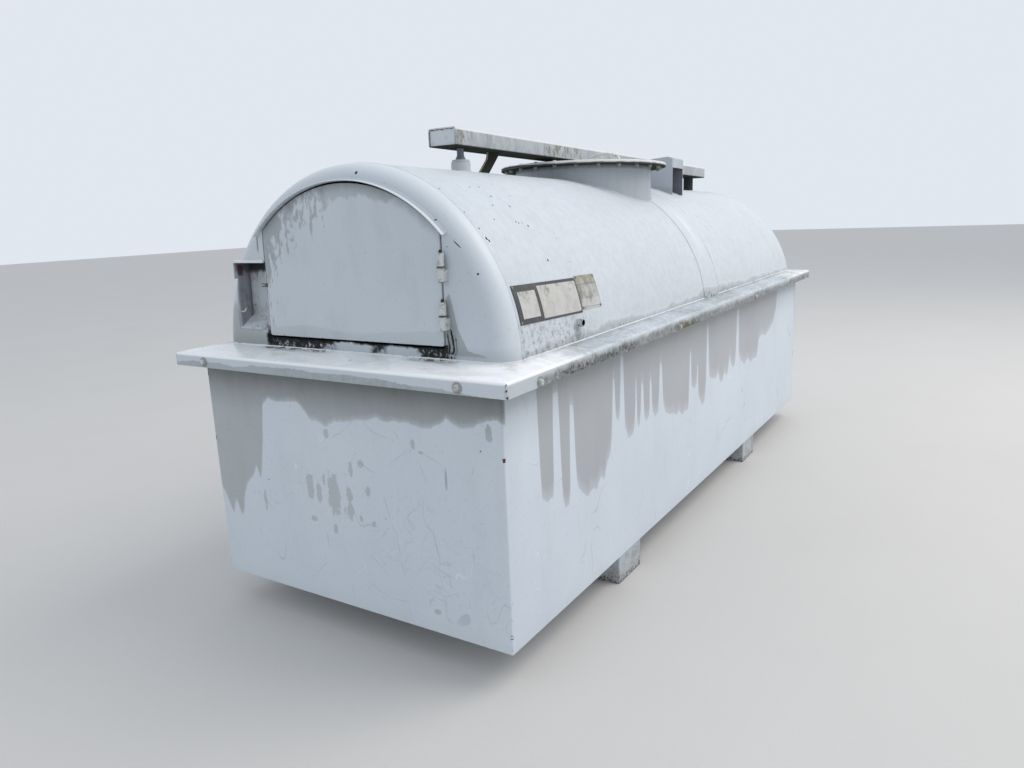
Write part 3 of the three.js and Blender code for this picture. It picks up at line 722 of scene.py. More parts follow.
def makeRimPaint():
    startPaint("rimPaint", tilted=False)
    x, y, z = coat["parts"]
    onLip = band(z, 0.9735, 0.967)
    onTop = minus(1.0, onLip)
    sideLip = times(onLip, band(unsigned(x), 0.7, 0.708))
    frontLip = times(onLip, band(unsigned(y), 1.832, 1.84))
    # the lower part of the front lip is damp, up to a ragged line
    ragged = scaled(cloud(22, 5, stretch=(1, 1, 0.6)), 0.016, -0.008)
    edge = plus(drawnLine(x, -rim["halfWidth"], rim["halfWidth"], lipDamp), ragged)
    damp = times(frontLip, band(minus(z, edge), 0.0025, -0.0025))
    tint(damp, (0.69, 0.7, 0.68), 0.32)
    addLichen(times(damp, band(x, -0.25, -0.1), band(x, 0.45, 0.35)), 0.3)
    # dirt and growth on the long lips, thickest in two places
    thick = either(between(y, -1.62, -0.95, 0.12), between(y, -0.62, -0.3, 0.05), 0.55)
    low = band(scaled(cloud(12, 5), 0.05, z), 0.998, 0.972)
    tint((sideLip, 0.8), (0.84, 0.83, 0.8), 0.6)
    dull = times(sideLip, low, band(y, -1.69, -1.64))
    tint((dull, 0.9), (0.62, 0.61, 0.59), 0.6)
    tint((dull, thick, patches(40, 0.38, 0.58, 8, 0.8)), (0.36, 0.355, 0.335), 0.8)
    tint((dull, thick, patches(105, 0.53, 0.63, 4, 0.7, shift=(3, 1, 2))), (0.22, 0.215, 0.19), 0.85)
    olive = times(sideLip, between(y, -0.56, -0.36, 0.03), low, patches(40, 0.42, 0.52, 5, shift=(2, 7, 1)))
    lay((olive, 0.75), (0.14, 0.135, 0.06), 0.9)
    lay((sideLip, between(y, -0.588, -0.584, 0.001), 0.8), (0.1, 0.1, 0.09), 0.8)
    # grime lies along the tank and in the low places of the top
    toSide = minus(unsigned(x), 0.622)
    toEnd = minus(unsigned(y), 1.7)
    inwards = either(toSide, toEnd)
    nearTank = band(scaled(cloud(18, 6), -0.06, inwards), 0.0, -0.03)
    onSides = band(minus(toSide, toEnd), -0.05, 0.0)
    # a painted reflection of the sky: the top near both ends is made nearly white and glossy
    bright = times(onTop, band(unsigned(y), 1.25, 1.55))
    lay((bright, 0.95), (0.94, 0.955, 0.96), 0.3)
    tint((onTop, nearTank, scaled(onSides, 0.5, 0.2)), (0.6, 0.6, 0.58), 0.55)
    mottled = patches(70, 0.42, 0.6, 8, 0.8, shift=(1, 5, 3))
    tint((onTop, onSides, mottled, band(y, -1.6, -1.1), 0.75), (0.66, 0.66, 0.64), 0.5)
    streaks = patches(9, 0.44, 0.64, 6, 0.65, stretch=(1, 0.3, 1), shift=(2, 2, 2))
    tint((onTop, onSides, streaks), (0.7, 0.71, 0.7), 0.3)
    # darker washes break up the painted reflection
    washes = cloud(9, 6, 0.62, stretch=(0.35, 1.6, 1), shift=(7, 2, 2), distortion=0.6)
    tint((bright, band(washes, 0.5, 0.38), 0.5), (0.82, 0.845, 0.85), 0.2)
    film = patches(5, 0.44, 0.58, 5, stretch=(1, 2.2, 1), shift=(6, 4, 1))
    tint((onTop, film, 0.7), (0.91, 0.92, 0.92), 0.16)
    # a painted highlight along the fold, strongest at the ends
    fold = band(either(minus(unsigned(y), rim["halfLength"]), minus(unsigned(x), rim["halfWidth"])), -0.012, -0.006)
    lay((onTop, fold, scaled(onSides, -0.7, 0.85)), (0.88, 0.89, 0.89), 0.3)
    addLichen(times(onTop, onSides, patches(5, 0.45, 0.62, 4, shift=(5, 0, 0))), 0.4)
    # black mould in the joint below the door
    patch = either(between(x, -0.4, -0.08, 0.03), between(x, 0.26, 0.44, 0.03))
    mouldy = times(patch, band(y, -1.742, -1.704), band(y, -1.6, -1.65), onTop, patches(44, 0.42, 0.54, 7, 0.75))
    lay((mouldy, 0.9), paint["mould"], 0.88)
    # a dark ring round each bolt
    nearBolt = band(markField((0, 2), [(x, *boltMark["end"]) for x in lipBoltPlaces["end"]]), 1.25, 0.85)
    lay((frontLip, nearBolt, 0.65), (0.16, 0.155, 0.14), 0.8)
    nearBolt = band(markField((1, 2), [(y, *boltMark["side"]) for y in lipBoltPlaces["side"]]), 1.25, 0.85)
    lay((sideLip, nearBolt, 0.65), (0.16, 0.155, 0.14), 0.8)
    # rust where the mitres are worn
    offCorner = either(minus(rim["halfWidth"], unsigned(x)), minus(rim["halfLength"], unsigned(y)))
    worn = times(band(scaled(cloud(90, 4), 0.012, offCorner), 0.0115, 0.009), band(z, 0.978, 0.972),
                 patches(75, 0.5, 0.56, 3, shift=(0, 3, 0)))
    lay(worn, paint["rust"], 0.8)
    lay(specks(11, 0.05, shift=(0.1, 0.9, 0.2)), (0.06, 0.055, 0.05), 0.7)
    return sealCoat()


rimPaint = makeRimPaint()
rims = ["rim_front", "rim_rear", "rim_left", "rim_right"]
addPiece("rimCover", makeCover(), rimPaint, rims, inTank=False, crease=50)

# tank skin
print("tank")
skin = {"ringStep": 0.045, "dent": 0.0007, "strapFrom": 0.02, "strapTo": 0.222, "strapSheet": 0.0023,
        "strapSunk": 0.001, "strapEase": 0.0008}
# chips in the paint of the barrel, seen from the right: place along the tank, height over its axis, size
barrelChips = [(-1.606, .529, .0024), (-1.417, .541, .0022), (-1.36, .543, .0024), (-1.235, .558, .0018),
               (-1.367, .51, .003), (-1.42, .479, .0024), (-1.322, .477, .003), (-1.317, .412, .0034),
               (-1.372, .426, .0026), (-1.36, .422, .0024), (-1.34, .422, .002), (-1.327, .301, .0036),
               (-1.186, .29, .0018), (-1.192, .369, .0016), (-1.486, .434, .0022), (-1.606, .407, .0026),
               (-1.604, .377, .0042), (-1.598, .37, .0036), (-1.237, .515, .0016), (-1.612, .456, .002)]

# how high the grime reaches over the rim cover, from the front to the rear
grimeLine = [(-1.7, .034), (-1.45, .052), (-1.2, .055), (-.93, .073), (-.64, .06), (-.39, .075), (-.22, .08),
             (-.05, .082), (.02, .108), (.2, .104), (.45, .108), (.75, .104), (.8, .12), (.86, .122), (.92, .11),
             (1.58, .12), (1.7, .12)]
# place along the tank, half width, lower and upper end, strength
strapLines = [(0.019, 0.0018, 0.07, 0.6, 0.15), (0.236, 0.0026, 0.1, 0.34, 1.0), (0.236, 0.0014, 0.34, 0.6, 0.45),
              (0.42, 0.002, 0.37, 0.46, 0.75), (0.3, 0.0012, 0.4, 0.52, 0.4)]


def ringRound(radius, along, calm=1.0):
    ring = []
    for a, b in circle(tank["roundSteps"]):
        out = radius + calm * skin["dent"] * noise.noise(Vector((a * 1.7, along * 1.9, b * 1.7)))
        ring.append((a * out, along, b * out))
    return ring


def makeSkin():
    start, end = tank["frontSeam"], tank["rearSeam"]
    count = round((end - start) / skin["ringStep"])
    places = [start + (end - start) * k / count for k in range(count + 1)]
    outer = [ringRound(tank["radius"], y, calm=min(1, (y - start) / 0.1, (end - y) / 0.1)) for y in places]
    inner = [ringRound(tank["radius"] - tank["shell"], y, calm=0) for y in places[::-6] + [start]]
    return loft(outer + inner, looped=True)


def makeSkinPaint():
    startPaint("skinPaint", (0.625, 0.665, 0.7))
    x, y, z = coat["parts"]
    # a chalky surface, with faint lines that the rain has washed round the barrel
    chalk = patches(26, 0.4, 0.62, 8, 0.78)
    tint((chalk, 0.8), (0.91, 0.912, 0.915), 0.5)
    lines = cloud(4, 6, 0.7, stretch=(0.22, 8.0, 0.22))
    fade = patches(1.3, 0.4, 0.65, 2, shift=(4, 0, 0))
    tint((band(lines, 0.52, 0.72), fade, 0.5), (0.92, 0.92, 0.91), 0.5)
    bright = cloud(6, 5, 0.6, stretch=(0.1, 7.0, 0.1), shift=(2, 6, 1))
    lay((band(bright, 0.58, 0.76), band(y, -0.9, -1.5), 0.3), paint["pale"], 0.5)
    # grime where the barrel meets the rim cover, with a pale line over it; none of it gets inside
    outside = band(fromAxis(), 0.6205, 0.6225)
    low = scaled(cloud(9, 7, 0.7), 0.075, z)
    shade = minus(low, drawnLine(y, -1.7, 1.7, grimeLine))
    tint((band(shade, 0.044, 0.03), outside, 0.8), (0.78, 0.78, 0.76), 0.6)
    lay((between(shade, 0.043, 0.05, 0.004), outside, 0.18), paint["pale"], 0.5)
    fine = patches(60, 0.46, 0.6, 7, 0.78)
    tint((band(shade, 0.036, 0.0), fine, outside, 0.9), (0.3, 0.3, 0.27), 0.75)
    near = times(outside, band(y, -1.05, -1.3), band(z, 0.16, 0.09),
                 patches(55, 0.47, 0.62, 7, 0.78, shift=(4, 4, 1)))
    tint((near, 0.75), (0.42, 0.42, 0.4), 0.7)
    # dirt at the foot of the manhole and under the beam
    top = times(band(z, 0.58, 0.622), patches(9, 0.44, 0.62, 6, 0.65))
    tint((top, 0.6), (0.6, 0.61, 0.57), 0.7)
    # dust gathers in the bottom of the cabinet
    under = times(band(z, -0.15, -0.5), patches(14, 0.35, 0.62, 7, 0.7))
    tint((under, 0.7), (0.62, 0.6, 0.56), 0.7)
    # thin dark lines beside the strap, darkest low on its rear side, and a short one further back
    for place, width, bottom, height, strength in strapLines:
        sway = scaled(cloud(5, 2), 0.012, minus(y, 0.006))
        line = times(between(sway, place - width, place + width, 0.0012), between(z, bottom, height, 0.05),
                     patches(18, 0.3, 0.52, 4), strength)
        tint(line, (0.28, 0.275, 0.27), 0.7)
    washed = times(between(y, 0.09, 0.2, 0.05), band(z, 0.2, 0.45), patches(7, 0.42, 0.6, 4, stretch=(0.3, 3, 0.3)))
    lay((washed, 0.55), paint["pale"], 0.5)
    # stain below the pipe stub
    local = plus(y, scaled(cloud(30, 3), 0.02, -0.01))
    drip = times(between(local, -1.279, -1.243, 0.006), band(z, 0.125, 0.08), band(x, 0.3, 0.5))
    tint((drip, 0.5), (0.4, 0.41, 0.37), 0.7)
    # chips, bare and dark, on the right side only where they have been seen
    ragged = plus(markField((1, 2), barrelChips), scaled(cloud(260, 2), 1.2, -0.6))
    lay((band(ragged, 2.4, 1.5), band(x, 0.0, 0.1), 0.5), (0.82, 0.84, 0.85), 0.6)
    lay((band(ragged, 1.4, 1.05), band(x, 0.0, 0.1)), (0.035, 0.032, 0.03), 0.75)
    lay((specks(6, 0.035, shift=(0.2, 0.5, 0.8)), band(z, 0.62, 0.5)), (0.08, 0.07, 0.06), 0.75)
    return sealCoat()


skinPaint = makeSkinPaint()
addPiece("tankSkin", makeSkin(), skinPaint, ["tank_barrel", "cabinet_shell"])


def makeStrap():
    start, end, sheet = skin["strapFrom"], skin["strapTo"], skin["strapSheet"]
    low, high, bend = tank["radius"] - skin["strapSunk"], tank["radius"] + sheet, skin["strapEase"]
    profile = [(low, start), (high - bend, start), (high, start + bend)]
    profile += [(high, start + (end - start) * k / 4) for k in range(1, 4)]
    profile += [(high, end - bend), (high - bend, end), (low, end)]
    return revolve(profile, steps=tank["roundSteps"], axis="Y", looped=True)


addPiece("girthStrap", makeStrap(), skinPaint, ["barrel_band"])
recoat("cabinet_bulkhead", skinPaint)

# heads
print("heads")
door = {"left": -0.37, "right": 0.393, "bottom": 0.06, "radius": 0.56, "gap": 0.006, "proud": 0.003, "sheet": 0.003,
        "return": 0.022, "round": 0.0025, "corner": 0.008}
pocket = {"left": -0.535, "right": -0.3763, "bottom": 0.076, "top": 0.316, "back": -1.627, "sheet": 0.004,
          "shy": 0.002, "hood": -1.702, "cheek": 0.256, "drain": (0.014, 0.08, 0.004), "floorY": -1.69,
          "floorZ": 0.0815, "slope": 0.66, "floorDepth": 0.0048}
doorBand = [(-.367, .088), (-.295, .093), (-.205, .102), (-.134, .098), (-.079, .094), (-.012, .083), (.046, .084),
            (.141, .092), (.224, .097), (.304, .104), (.392, .108)]
doorShade = [(-.37, .17), (-.35, .23), (-.338, .274), (-.314, .345), (-.283, .39), (-.238, .425), (-.19, .462),
             (-.128, .478), (-.092, .482), (-.058, .49), (-.019, .512), (.033, .516), (.101, .516), (.133, .511),
             (.173, .499), (.205, .5), (.245, .51), (.275, .52), (.393, .6)]

# mould beside the door: place across, half width, upper end, strength
curls = [(0.411, 0.003, 0.1, 0.95), (0.426, 0.0036, 0.115, 0.95), (0.437, 0.0018, 0.09, 0.6)]


def headRings(face, seam, depth):
    # the profile of a pressed head, depth below its outer surface
    inwards = copysign(1, seam - face)
    flat, bend = tank["radius"] - tank["knuckle"], tank["knuckle"] - depth
    rings = [(flat * k / 8, face + inwards * depth) for k in range(9)]
    for k in range(1, 11):
        angle = pi / 2 * k / 10
        rings.append((flat + bend * sin(angle), face + inwards * (tank["knuckle"] - bend * cos(angle))))
    return rings + [(tank["radius"] - depth, seam)]


def makeHead(face, seam):
    profile = headRings(face, seam, 0.0) + headRings(face, seam, tank["shell"])[::-1]
    return revolve(profile, steps=tank["roundSteps"], axis="Y")


def archRing(inset, y):
    # outline of the door's arch, always with the same number of points
    left, right = door["left"] + inset, door["right"] - inset
    bottom, radius = door["bottom"] + inset, door["radius"] - inset
    corner = max(door["corner"] - inset, 0.001)
    low = bottom + corner

    def cornerAt(x, quarter):
        angles = [quarter * pi / 2 + pi / 2 * i / 4 for i in range(5)]
        return [(x + corner * cos(angle), low + corner * sin(angle)) for angle in angles]

    ring = cornerAt(left + corner, 2)
    ring += [(left + corner + (right - left - 2 * corner) * i / 12, bottom) for i in range(1, 12)]
    ring += cornerAt(right - corner, -1)
    rightTop, leftTop = sqrt(radius * radius - right * right), sqrt(radius * radius - left * left)
    ring += [(right, low + (rightTop - low) * i / 8) for i in range(1, 8)]
    start, end = acos(right / radius), acos(left / radius)
    turns = [start + (end - start) * i / 40 for i in range(41)]
    ring += [(radius * cos(turn), radius * sin(turn)) for turn in turns]
    ring += [(left, leftTop - (leftTop - low) * i / 8) for i in range(1, 8)]
    return [(x, y, z) for x, z in ring]


def makeHeadPaint():
    startPaint("headPaint", (0.555, 0.61, 0.655))
    x, y, z = coat["parts"]
    # damp patches and runs
    wobble = scaled(cloud(12, 5), 0.09, -0.045)
    wedge = plus(drawnLine(x, 0.4, 0.56, [(.4, .2), (.419, .225), (.446, .113), (.48, .055), (.54, .038), (.56, .03)]),
                 times(wobble, 0.35))
    wet = times(band(minus(z, wedge), 0.002, -0.002), band(x, 0.398, 0.402), band(z, 0.03, 0.04))
    leftPatch = times(band(plus(x, wobble), -0.37, -0.41), band(plus(z, wobble), 0.19, 0.14))
    atDoor = band(y, -1.4, -1.5)
    tint((either(wet, leftPatch), atDoor), paint["wetShade"], paint["wetRoughness"])
    # washed pale round the rounded edge
    outwards = fromAxis()
    lay((band(outwards, 0.57, 0.62), 0.35), paint["pale"])
    # the gap round the door is grimy
    runs = cloud(9, 5, stretch=(3.5, 1, 0.25))
    tint((band(runs, 0.6, 0.72), band(z, 0.3, 0.1), 0.3), (0.72, 0.72, 0.7), 0.4)
    olive = times(between(plus(x, times(wobble, 0.08)), -0.407, -0.4, 0.002), between(z, 0.352, 0.405, 0.01))
    lay((olive, atDoor, 0.7), (0.09, 0.085, 0.04), 0.8)
    # black mould along the foot of the head, light in between, and curls of it beside the door's lower corner
    grain = times(cloud(46, 8, 0.78), atDoor)
    reachUp = plus(z, scaled(cloud(24, 4), 0.03, -0.015))
    drift = scaled(cloud(15, 6, shift=(4, 0, 1)), 0.24, minus(x, 0.12))
    solid = either(between(drift, -0.42, -0.085, 0.025), between(drift, 0.105, 0.165, 0.025))
    dense = either(times(solid, band(scaled(grain, 0.03, x), -0.388, -0.374)),
                   times(between(drift, 0.285, 0.5, 0.02), band(x, 0.418, 0.402), band(grain, 0.37, 0.45)))
    low = minus(1.0, band(z, 0.035, 0.058))
    grain = scaled(low, -0.06, grain)
    lay((dense, band(reachUp, 0.074, 0.06), band(grain, 0.33, 0.43), 0.97), paint["mould"], 0.9)
    footLeft = times(between(x, -0.388, -0.371, 0.004), band(reachUp, 0.128, 0.1), band(grain, 0.34, 0.44))
    lay((footLeft, 0.9), paint["mould"], 0.9)
    lay((between(reachUp, 0.05, 0.064, 0.004), between(x, -0.38, 0.405, 0.006), atDoor), paint["mould"], 0.9)
    # a soft grey area from the lower hinge down to the corner
    greyNearHinge = times(between(x, 0.396, 0.442, 0.012), band(z, 0.17, 0.1), atDoor, 0.6)
    tint(greyNearHinge, (0.6, 0.6, 0.6), 0.6)
    # two thin bent lines and a fainter one, from the joint up beside the door
    bent = scaled(cloud(22, 3, stretch=(0.3, 1, 1)), 0.022, minus(x, 0.011))
    bow = scaled(times(minus(z, 0.06), minus(z, 0.06)), 4.0, bent)
    for place, width, top, strength in curls:
        curl = times(between(bow, place - width, place + width, 0.0012), between(z, 0.01, top, 0.012),
                     band(grain, 0.36, 0.46), strength)
        lay(curl, paint["mould"], 0.9)
    corner = times(between(x, 0.395, 0.43, 0.006), band(reachUp, 0.046, 0.036), band(grain, 0.38, 0.48), 0.9)
    lay(corner, paint["mould"], 0.9)
    tint((band(z, 0.075, 0.03), 0.4), (0.66, 0.66, 0.64), 0.6)
    marks = markField((0, 2), [(.071, .588, .0052), (.38, .435, .0026), (.418, .357, .0018), (.52, .277, .0034),
                               (.401, .111, .003), (.437, .083, .003)])
    ragged = plus(marks, scaled(cloud(200, 2), 0.8, -0.4))
    slash = nearestMark(coat["place"], [((.4525, 0, .363), (0, 0.715, 0), (.0165, 1000, .0016))])
    lay((either(band(ragged, 1.1, 0.85), band(slash, 1.2, 0.8)), band(y, -1.6, -1.64)), (0.045, 0.035, 0.03), 0.8)
    # the moulding stands out pale, over a dark line
    lay((between(outwards, 0.5665, 0.5785, 0.0006), band(y, -1.6955, -1.6965), 0.7), (0.74, 0.77, 0.79), 0.4)
    # the seam's weld is a little dirtier
    tint((between(y, tank["frontSeam"] - 0.004, tank["frontSeam"] + 0.001, 0.0015), 0.6), (0.5, 0.5, 0.48))
    return sealCoat()


headPaint = makeHeadPaint()
doorway = loft([archRing(-door["gap"], y) for y in (tank["frontFace"] - 0.05,
                                                                    tank["frontFace"] + 0.05)])
recess = box((pocket["left"] - fit, tank["frontFace"] - 0.05, pocket["bottom"] - fit),
             (pocket["right"] + fit, tank["frontFace"] + 0.2, pocket["top"] + fit))
frontEnd = cutShape(makeHead(tank["frontFace"], tank["frontSeam"]), doorway, recess)
addPiece("frontEnd", frontEnd, headPaint, ["front_head"])
addPiece("rearEnd", makeHead(tank["rearFace"], tank["rearSeam"]), headPaint, ["rear_head"])

seam = {"radius": 0.0035, "ripple": 0.0008, "sink": 0.0013, "steps": 480}


def makeSeam(along):
    middle, rings = tank["radius"] - seam["sink"], []
    for a, b in circle(seam["steps"]):
        size = seam["radius"] + seam["ripple"] * noise.noise(Vector((a * 60, along, b * 60)))
        ring = []
        for c, s in circle(8):
            out = middle + size * c * 0.8
            ring.append((out * a, along + size * s * 1.3, out * b))
        rings.append(ring)
    return loft(rings, looped=True)


addPiece("seamWelds", joinShapes(makeSeam(tank["frontSeam"]), makeSeam(tank["rearSeam"])), skinPaint)

# door
print("door")


def makeDoorPaint():
    startPaint("doorPaint", (0.585, 0.635, 0.675))
    x, _, z = coat["parts"]
    drift = scaled(cloud(30, 4, stretch=(1, 1, 0.5)), 0.016, -0.008)
    level = plus(z, drift)
    foot = drawnLine(x, door["left"], door["right"], doorBand)
    tint(band(minus(level, foot), 0.003, -0.003), (0.915, 0.912, 0.9), 0.33)
    # the damp upper part breaks up into short runs on the left, and has a soft edge further right
    runs = minus(cloud(17, 6, 0.62, stretch=(2.3, 1, 0.75), shift=(2, 0, 5)), 0.5)
    fine = minus(cloud(60, 3, stretch=(1.5, 1, 0.8), shift=(5, 0, 1)), 0.5)
    broken = scaled(band(x, -0.03, -0.12), 0.62, 0.05)
    reach = times(scaled(fine, 0.45, runs), broken)
    edge = plus(drawnLine(x, door["left"], door["right"], doorShade), scaled(cloud(9, 5), 0.03, -0.015))
    over = minus(plus(z, reach), edge)
    damp = scaled(band(over, -0.006, 0.008), 0.6, times(band(over, 0.01, 0.09), 0.4))
    tint(damp, (0.61, 0.615, 0.61), 0.34)
    rimShade = band(scaled(cloud(20, 4), 0.03, fromAxis()), 0.54, 0.575)
    tint((rimShade, band(z, 0.3, 0.45), 0.85), (0.63, 0.635, 0.63))
    mottle = patches(11, 0.5, 0.72, 6, stretch=(1, 1, 0.6), shift=(3, 3, 3))
    tint((mottle, 0.5), (0.9, 0.9, 0.895))
    lay(specks(9, 0.02, shift=(0.4, 0.2, 0.1)), (0.08, 0.07, 0.06), 0.7)
    # worn edges
    worn = times(patches(55, 0.6, 0.68, 4), either(band(x, door["left"] + 0.006, door["left"] + 0.002),
                                                     band(z, door["bottom"] + 0.006, door["bottom"] + 0.002)))
    lay(worn, paint["rust"], 0.8)
    return sealCoat()


def makeDoor():
    front, bend, sheet = tank["frontFace"] - door["proud"], door["round"], door["sheet"]
    back = front + door["return"]
    rings = [archRing(0.12, front), archRing(0.04, front)]
    for k in range(5):
        angle = pi / 2 * k / 4
        rings.append(archRing(bend * (1 - sin(angle)), front + bend * (1 - cos(angle))))
    return loft(rings + [archRing(0.0, back), archRing(sheet, back), archRing(sheet, front + sheet)])


doorPaint = makeDoorPaint()
addPiece("doorLeaf", makeDoor(), doorPaint, ["door_panel"], body="door")

strip = {"inner": 0.567, "outer": 0.577, "sheet": 0.003, "reach": 0.018, "ease": 0.0008, "from": 43.5, "to": 135.0,
         "steps": 72}


def makeStrip():
    thick, bend = strip["sheet"], strip["ease"]
    face, tip = tank["frontFace"], tank["frontFace"] - strip["reach"]
    inner, outer, lip = strip["inner"], strip["outer"], strip["inner"] + thick
    section = [(inner, tip + bend), (inner + bend, tip), (lip - bend, tip), (lip, tip + bend),
               (lip, face - thick - 0.002), (lip + 0.002, face - thick), (outer - 0.001, face - thick + 0.0005),
               (outer, face - thick + 0.0015), (outer, face + 0.005), (inner, face + 0.002)]
    rings = []
    for i in range(strip["steps"] + 1):
        angle = radians(strip["from"] + (strip["to"] - strip["from"]) * i / strip["steps"])
        rings.append([(r * cos(angle), y, r * sin(angle)) for r, y in section])
    return loft(rings)


addPiece("dripStrip", makeStrip(), headPaint, ["drip_moulding"])


def makePocketPaint():
    startPaint("pocketPaint", (0.51, 0.545, 0.58))
    x, y, z = coat["parts"]
    tint(patches(16, 0.42, 0.65, 6, 0.65), (0.78, 0.78, 0.76), 0.6)
    onLeft = band(x, -0.528, -0.5305)
    # painted shade from the hood darkens the left wall deeper in, and further back it is brownish with rust as well
    tint((onLeft, band(y, -1.692, -1.68), 0.9), (0.56, 0.57, 0.585))
    tint((onLeft, band(y, -1.65, -1.634), 0.7), (0.5, 0.48, 0.42), 0.7)
    # painted shadow under the hood, dark patches running down the back wall, and rust on the left
    grime = cloud(34, 6, 0.7, stretch=(1, 1, 0.45))
    high = scaled(grime, 0.05, z)
    hoodShadow = times(band(high, 0.292, 0.312), band(y, -1.6985, -1.69), band(x, -0.533, -0.5295))
    lay((hoodShadow, 0.95), (0.02, 0.019, 0.019), 0.9)
    lay((band(grime, 0.52, 0.66), band(y, -1.69, -1.68), 0.55), (0.16, 0.155, 0.14), 0.8)
    stain = times(onLeft, between(scaled(cloud(60, 4), 0.014, y), -1.678, -1.655, 0.003),
                  between(scaled(grime, 0.02, z), 0.276, 0.312, 0.004))
    lay((stain, 0.8), (0.1, 0.028, 0.024), 0.85)
    # pale edges, and the worn sloping floor
    edgeOn = either(band(y, -1.7005, -1.7013), band(z, 0.3142, 0.3148))
    lay((edgeOn, 0.9), (0.74, 0.77, 0.78), 0.5)
    lift = minus(z, scaled(y, pocket["slope"], pocket["floorZ"] - pocket["slope"] * pocket["floorY"]))
    onFloor = band(lift, 0.0012, 0.0004)
    lay((onFloor, patches(30, 0.3, 0.5, 6, 0.7), 0.85), (0.57, 0.605, 0.635), 0.5)
    lay((onFloor, patches(48, 0.52, 0.64, 6, 0.75, shift=(1, 2, 3)), 0.6), (0.22, 0.22, 0.2), 0.7)
    lay((band(lift, 0.022, 0.001), band(x, -0.44, -0.385), patches(44, 0.42, 0.56, 6, 0.75)), (0.1, 0.1, 0.085),
        0.8)
    return sealCoat()


def pocketFloor(y, drop=0.0):
    return pocket["floorZ"] + pocket["slope"] * (y - pocket["floorY"]) - drop


def sidePrism(points, x0, x1):
    return loft([[(x, y, z) for y, z in points] for x in (x0, x1)])


def makePocket():
    left, right, low, top, far, s = (pocket[part] for part in ("left", "right", "bottom", "top", "back", "sheet"))
    front = tank["frontFace"]
    ahead, rear, head = front - 0.02, far - s, top - s
    inner = sidePrism([(ahead, pocketFloor(ahead)), (rear, pocketFloor(rear)), (rear, head), (ahead, head)], left + s,
                      right - s)
    below, behind, deep = low - 0.02, far + 0.002, pocket["floorDepth"]
    under = sidePrism([(front, below), (behind, below), (behind, pocketFloor(behind, deep)),
                       (front, pocketFloor(front, deep))], left - 0.002, right + 0.002)
    across, up, size = pocket["drain"]
    drain = revolve([(0, far - 0.02), (size, far - 0.02), (size, far + 0.02), (0, far + 0.02)], steps=20, axis="Y")
    bmesh.ops.translate(drain, vec=(left + across, 0, low + up), verts=drain.verts)
    # its open edge follows the rounded head, a little behind the surface
    profile = [(0.0, front + pocket["shy"])] + headRings(front, tank["frontSeam"], pocket["shy"])[1:]
    profile += [(0.9, tank["frontSeam"]), (0.9, front - 0.05), (0.0, front - 0.05)]
    beyond = revolve(profile, steps=tank["roundSteps"], axis="Y")
    trimmed = cutShape(box((left, front - 0.01, low), (right, far, top)), inner, under, drain, beyond)
    hood = box((left, pocket["hood"], head), (right, rear, top))
    cheek = box((left, pocket["hood"], pocket["cheek"]), (left + s, rear, top - s / 2))
    return cutShape(trimmed, hood, cheek, how="UNION")


pocketPaint = makePocketPaint()
addPiece("pocketBox", makePocket(), pocketPaint, ["nozzle_pocket"], edge=0.001)


def makeWornSteel(name, colour, tilted=True, rustiness=1.0, metal=0.55):
    startCoat(name, colour, 0.5, tilted)
    coat["metal"] = metal
    tint(patches(60, 0.4, 0.7, 5), (0.6, 0.58, 0.55), 0.65)
    rusty = patches(90, 0.52, 0.64, 6, 0.7, shift=(2, 2, 2))
    lay((rusty, rustiness), paint["rust"], 0.85)
    swell(cloud(200, 4), 0.0004)
    return sealCoat()


wornSteel = makeWornSteel("wornSteel", (0.33, 0.31, 0.28))
hook = {"path": [(0, 0, 0), (0.014, 0, 0), (0.024, 0, 0.004), (0.028, 0, 0.014)], "radius": 0.003,
        "at": (-0.5312, -1.685, 0.138)}
hookPath = [Vector(point) + Vector(hook["at"]) for point in smoothPath(hook["path"], 6)]
hookSteel = makeWornSteel("hookSteel", (0.66, 0.65, 0.62), rustiness=0.3)
addPiece("pocketHook", rod(hookPath, hook["radius"], 12), hookSteel, ["pocket_hook"])

# hinges and latch
hinge = {"x": 0.405, "proud": 0.017, "radius": 0.011, "length": 0.04, "washer": 0.0125, "washerHeight": 0.0055,
         "pin": 0.0045, "play": 0.0005, "places": {"lower": 0.11, "upper": 0.254}, "pinRise": 0.009,
         "frameLeaf": 0.0125, "doorLeaf": 0.016}


def makeHingePaint():
    startPaint("hingePaint", (0.6, 0.62, 0.61))
    z = coat["parts"][2]
    tint(patches(70, 0.52, 0.66, 5), (0.66, 0.64, 0.6), 0.6)
    for bottom in hinge["places"].values():
        ring = bottom + hinge["length"]
        rust = between(scaled(cloud(110, 3), 0.004, z), ring + 0.0035, ring + 0.0085, 0.001)
        lay((rust, 0.92), (0.085, 0.045, 0.028), 0.85)
        top = bottom + 2 * hinge["length"] + hinge["washerHeight"] + hinge["play"]
        lay(between(z, top - 0.0002, top + 0.02, 0.0004), (0.028, 0.026, 0.024), 0.7)
        lay((between(z, bottom - 0.002, bottom + 0.002, 0.001), 0.7), (0.06, 0.05, 0.04), 0.85)
    return sealCoat()


def makeFrameBarrel(bottom):
    r, pin, wide, x = (hinge[part] for part in ("radius", "pin", "washer", "x"))
    axis, top = tank["frontFace"] - hinge["proud"], bottom + hinge["length"]
    washer = top + hinge["washerHeight"]
    tip = washer + hinge["play"] + hinge["length"] + hinge["pinRise"]
    profile = [(0, bottom), (r - 0.0015, bottom), (r, bottom + 0.0015), (r, top - 0.001), (r - 0.0008, top),
               (wide - 0.0005, top + 0.0002), (wide, top + 0.001), (wide, washer - 0.001), (wide - 0.001, washer),
               (pin, washer), (pin, tip - 0.002), (pin - 0.002, tip), (0, tip)]
    leaf = box((x - 0.002, axis, bottom + 0.003), (x + hinge["frameLeaf"], tank["frontFace"] - 0.0001, top - 0.003))
    return joinShapes(revolve(profile, steps=32, centre=(x, axis)), leaf)


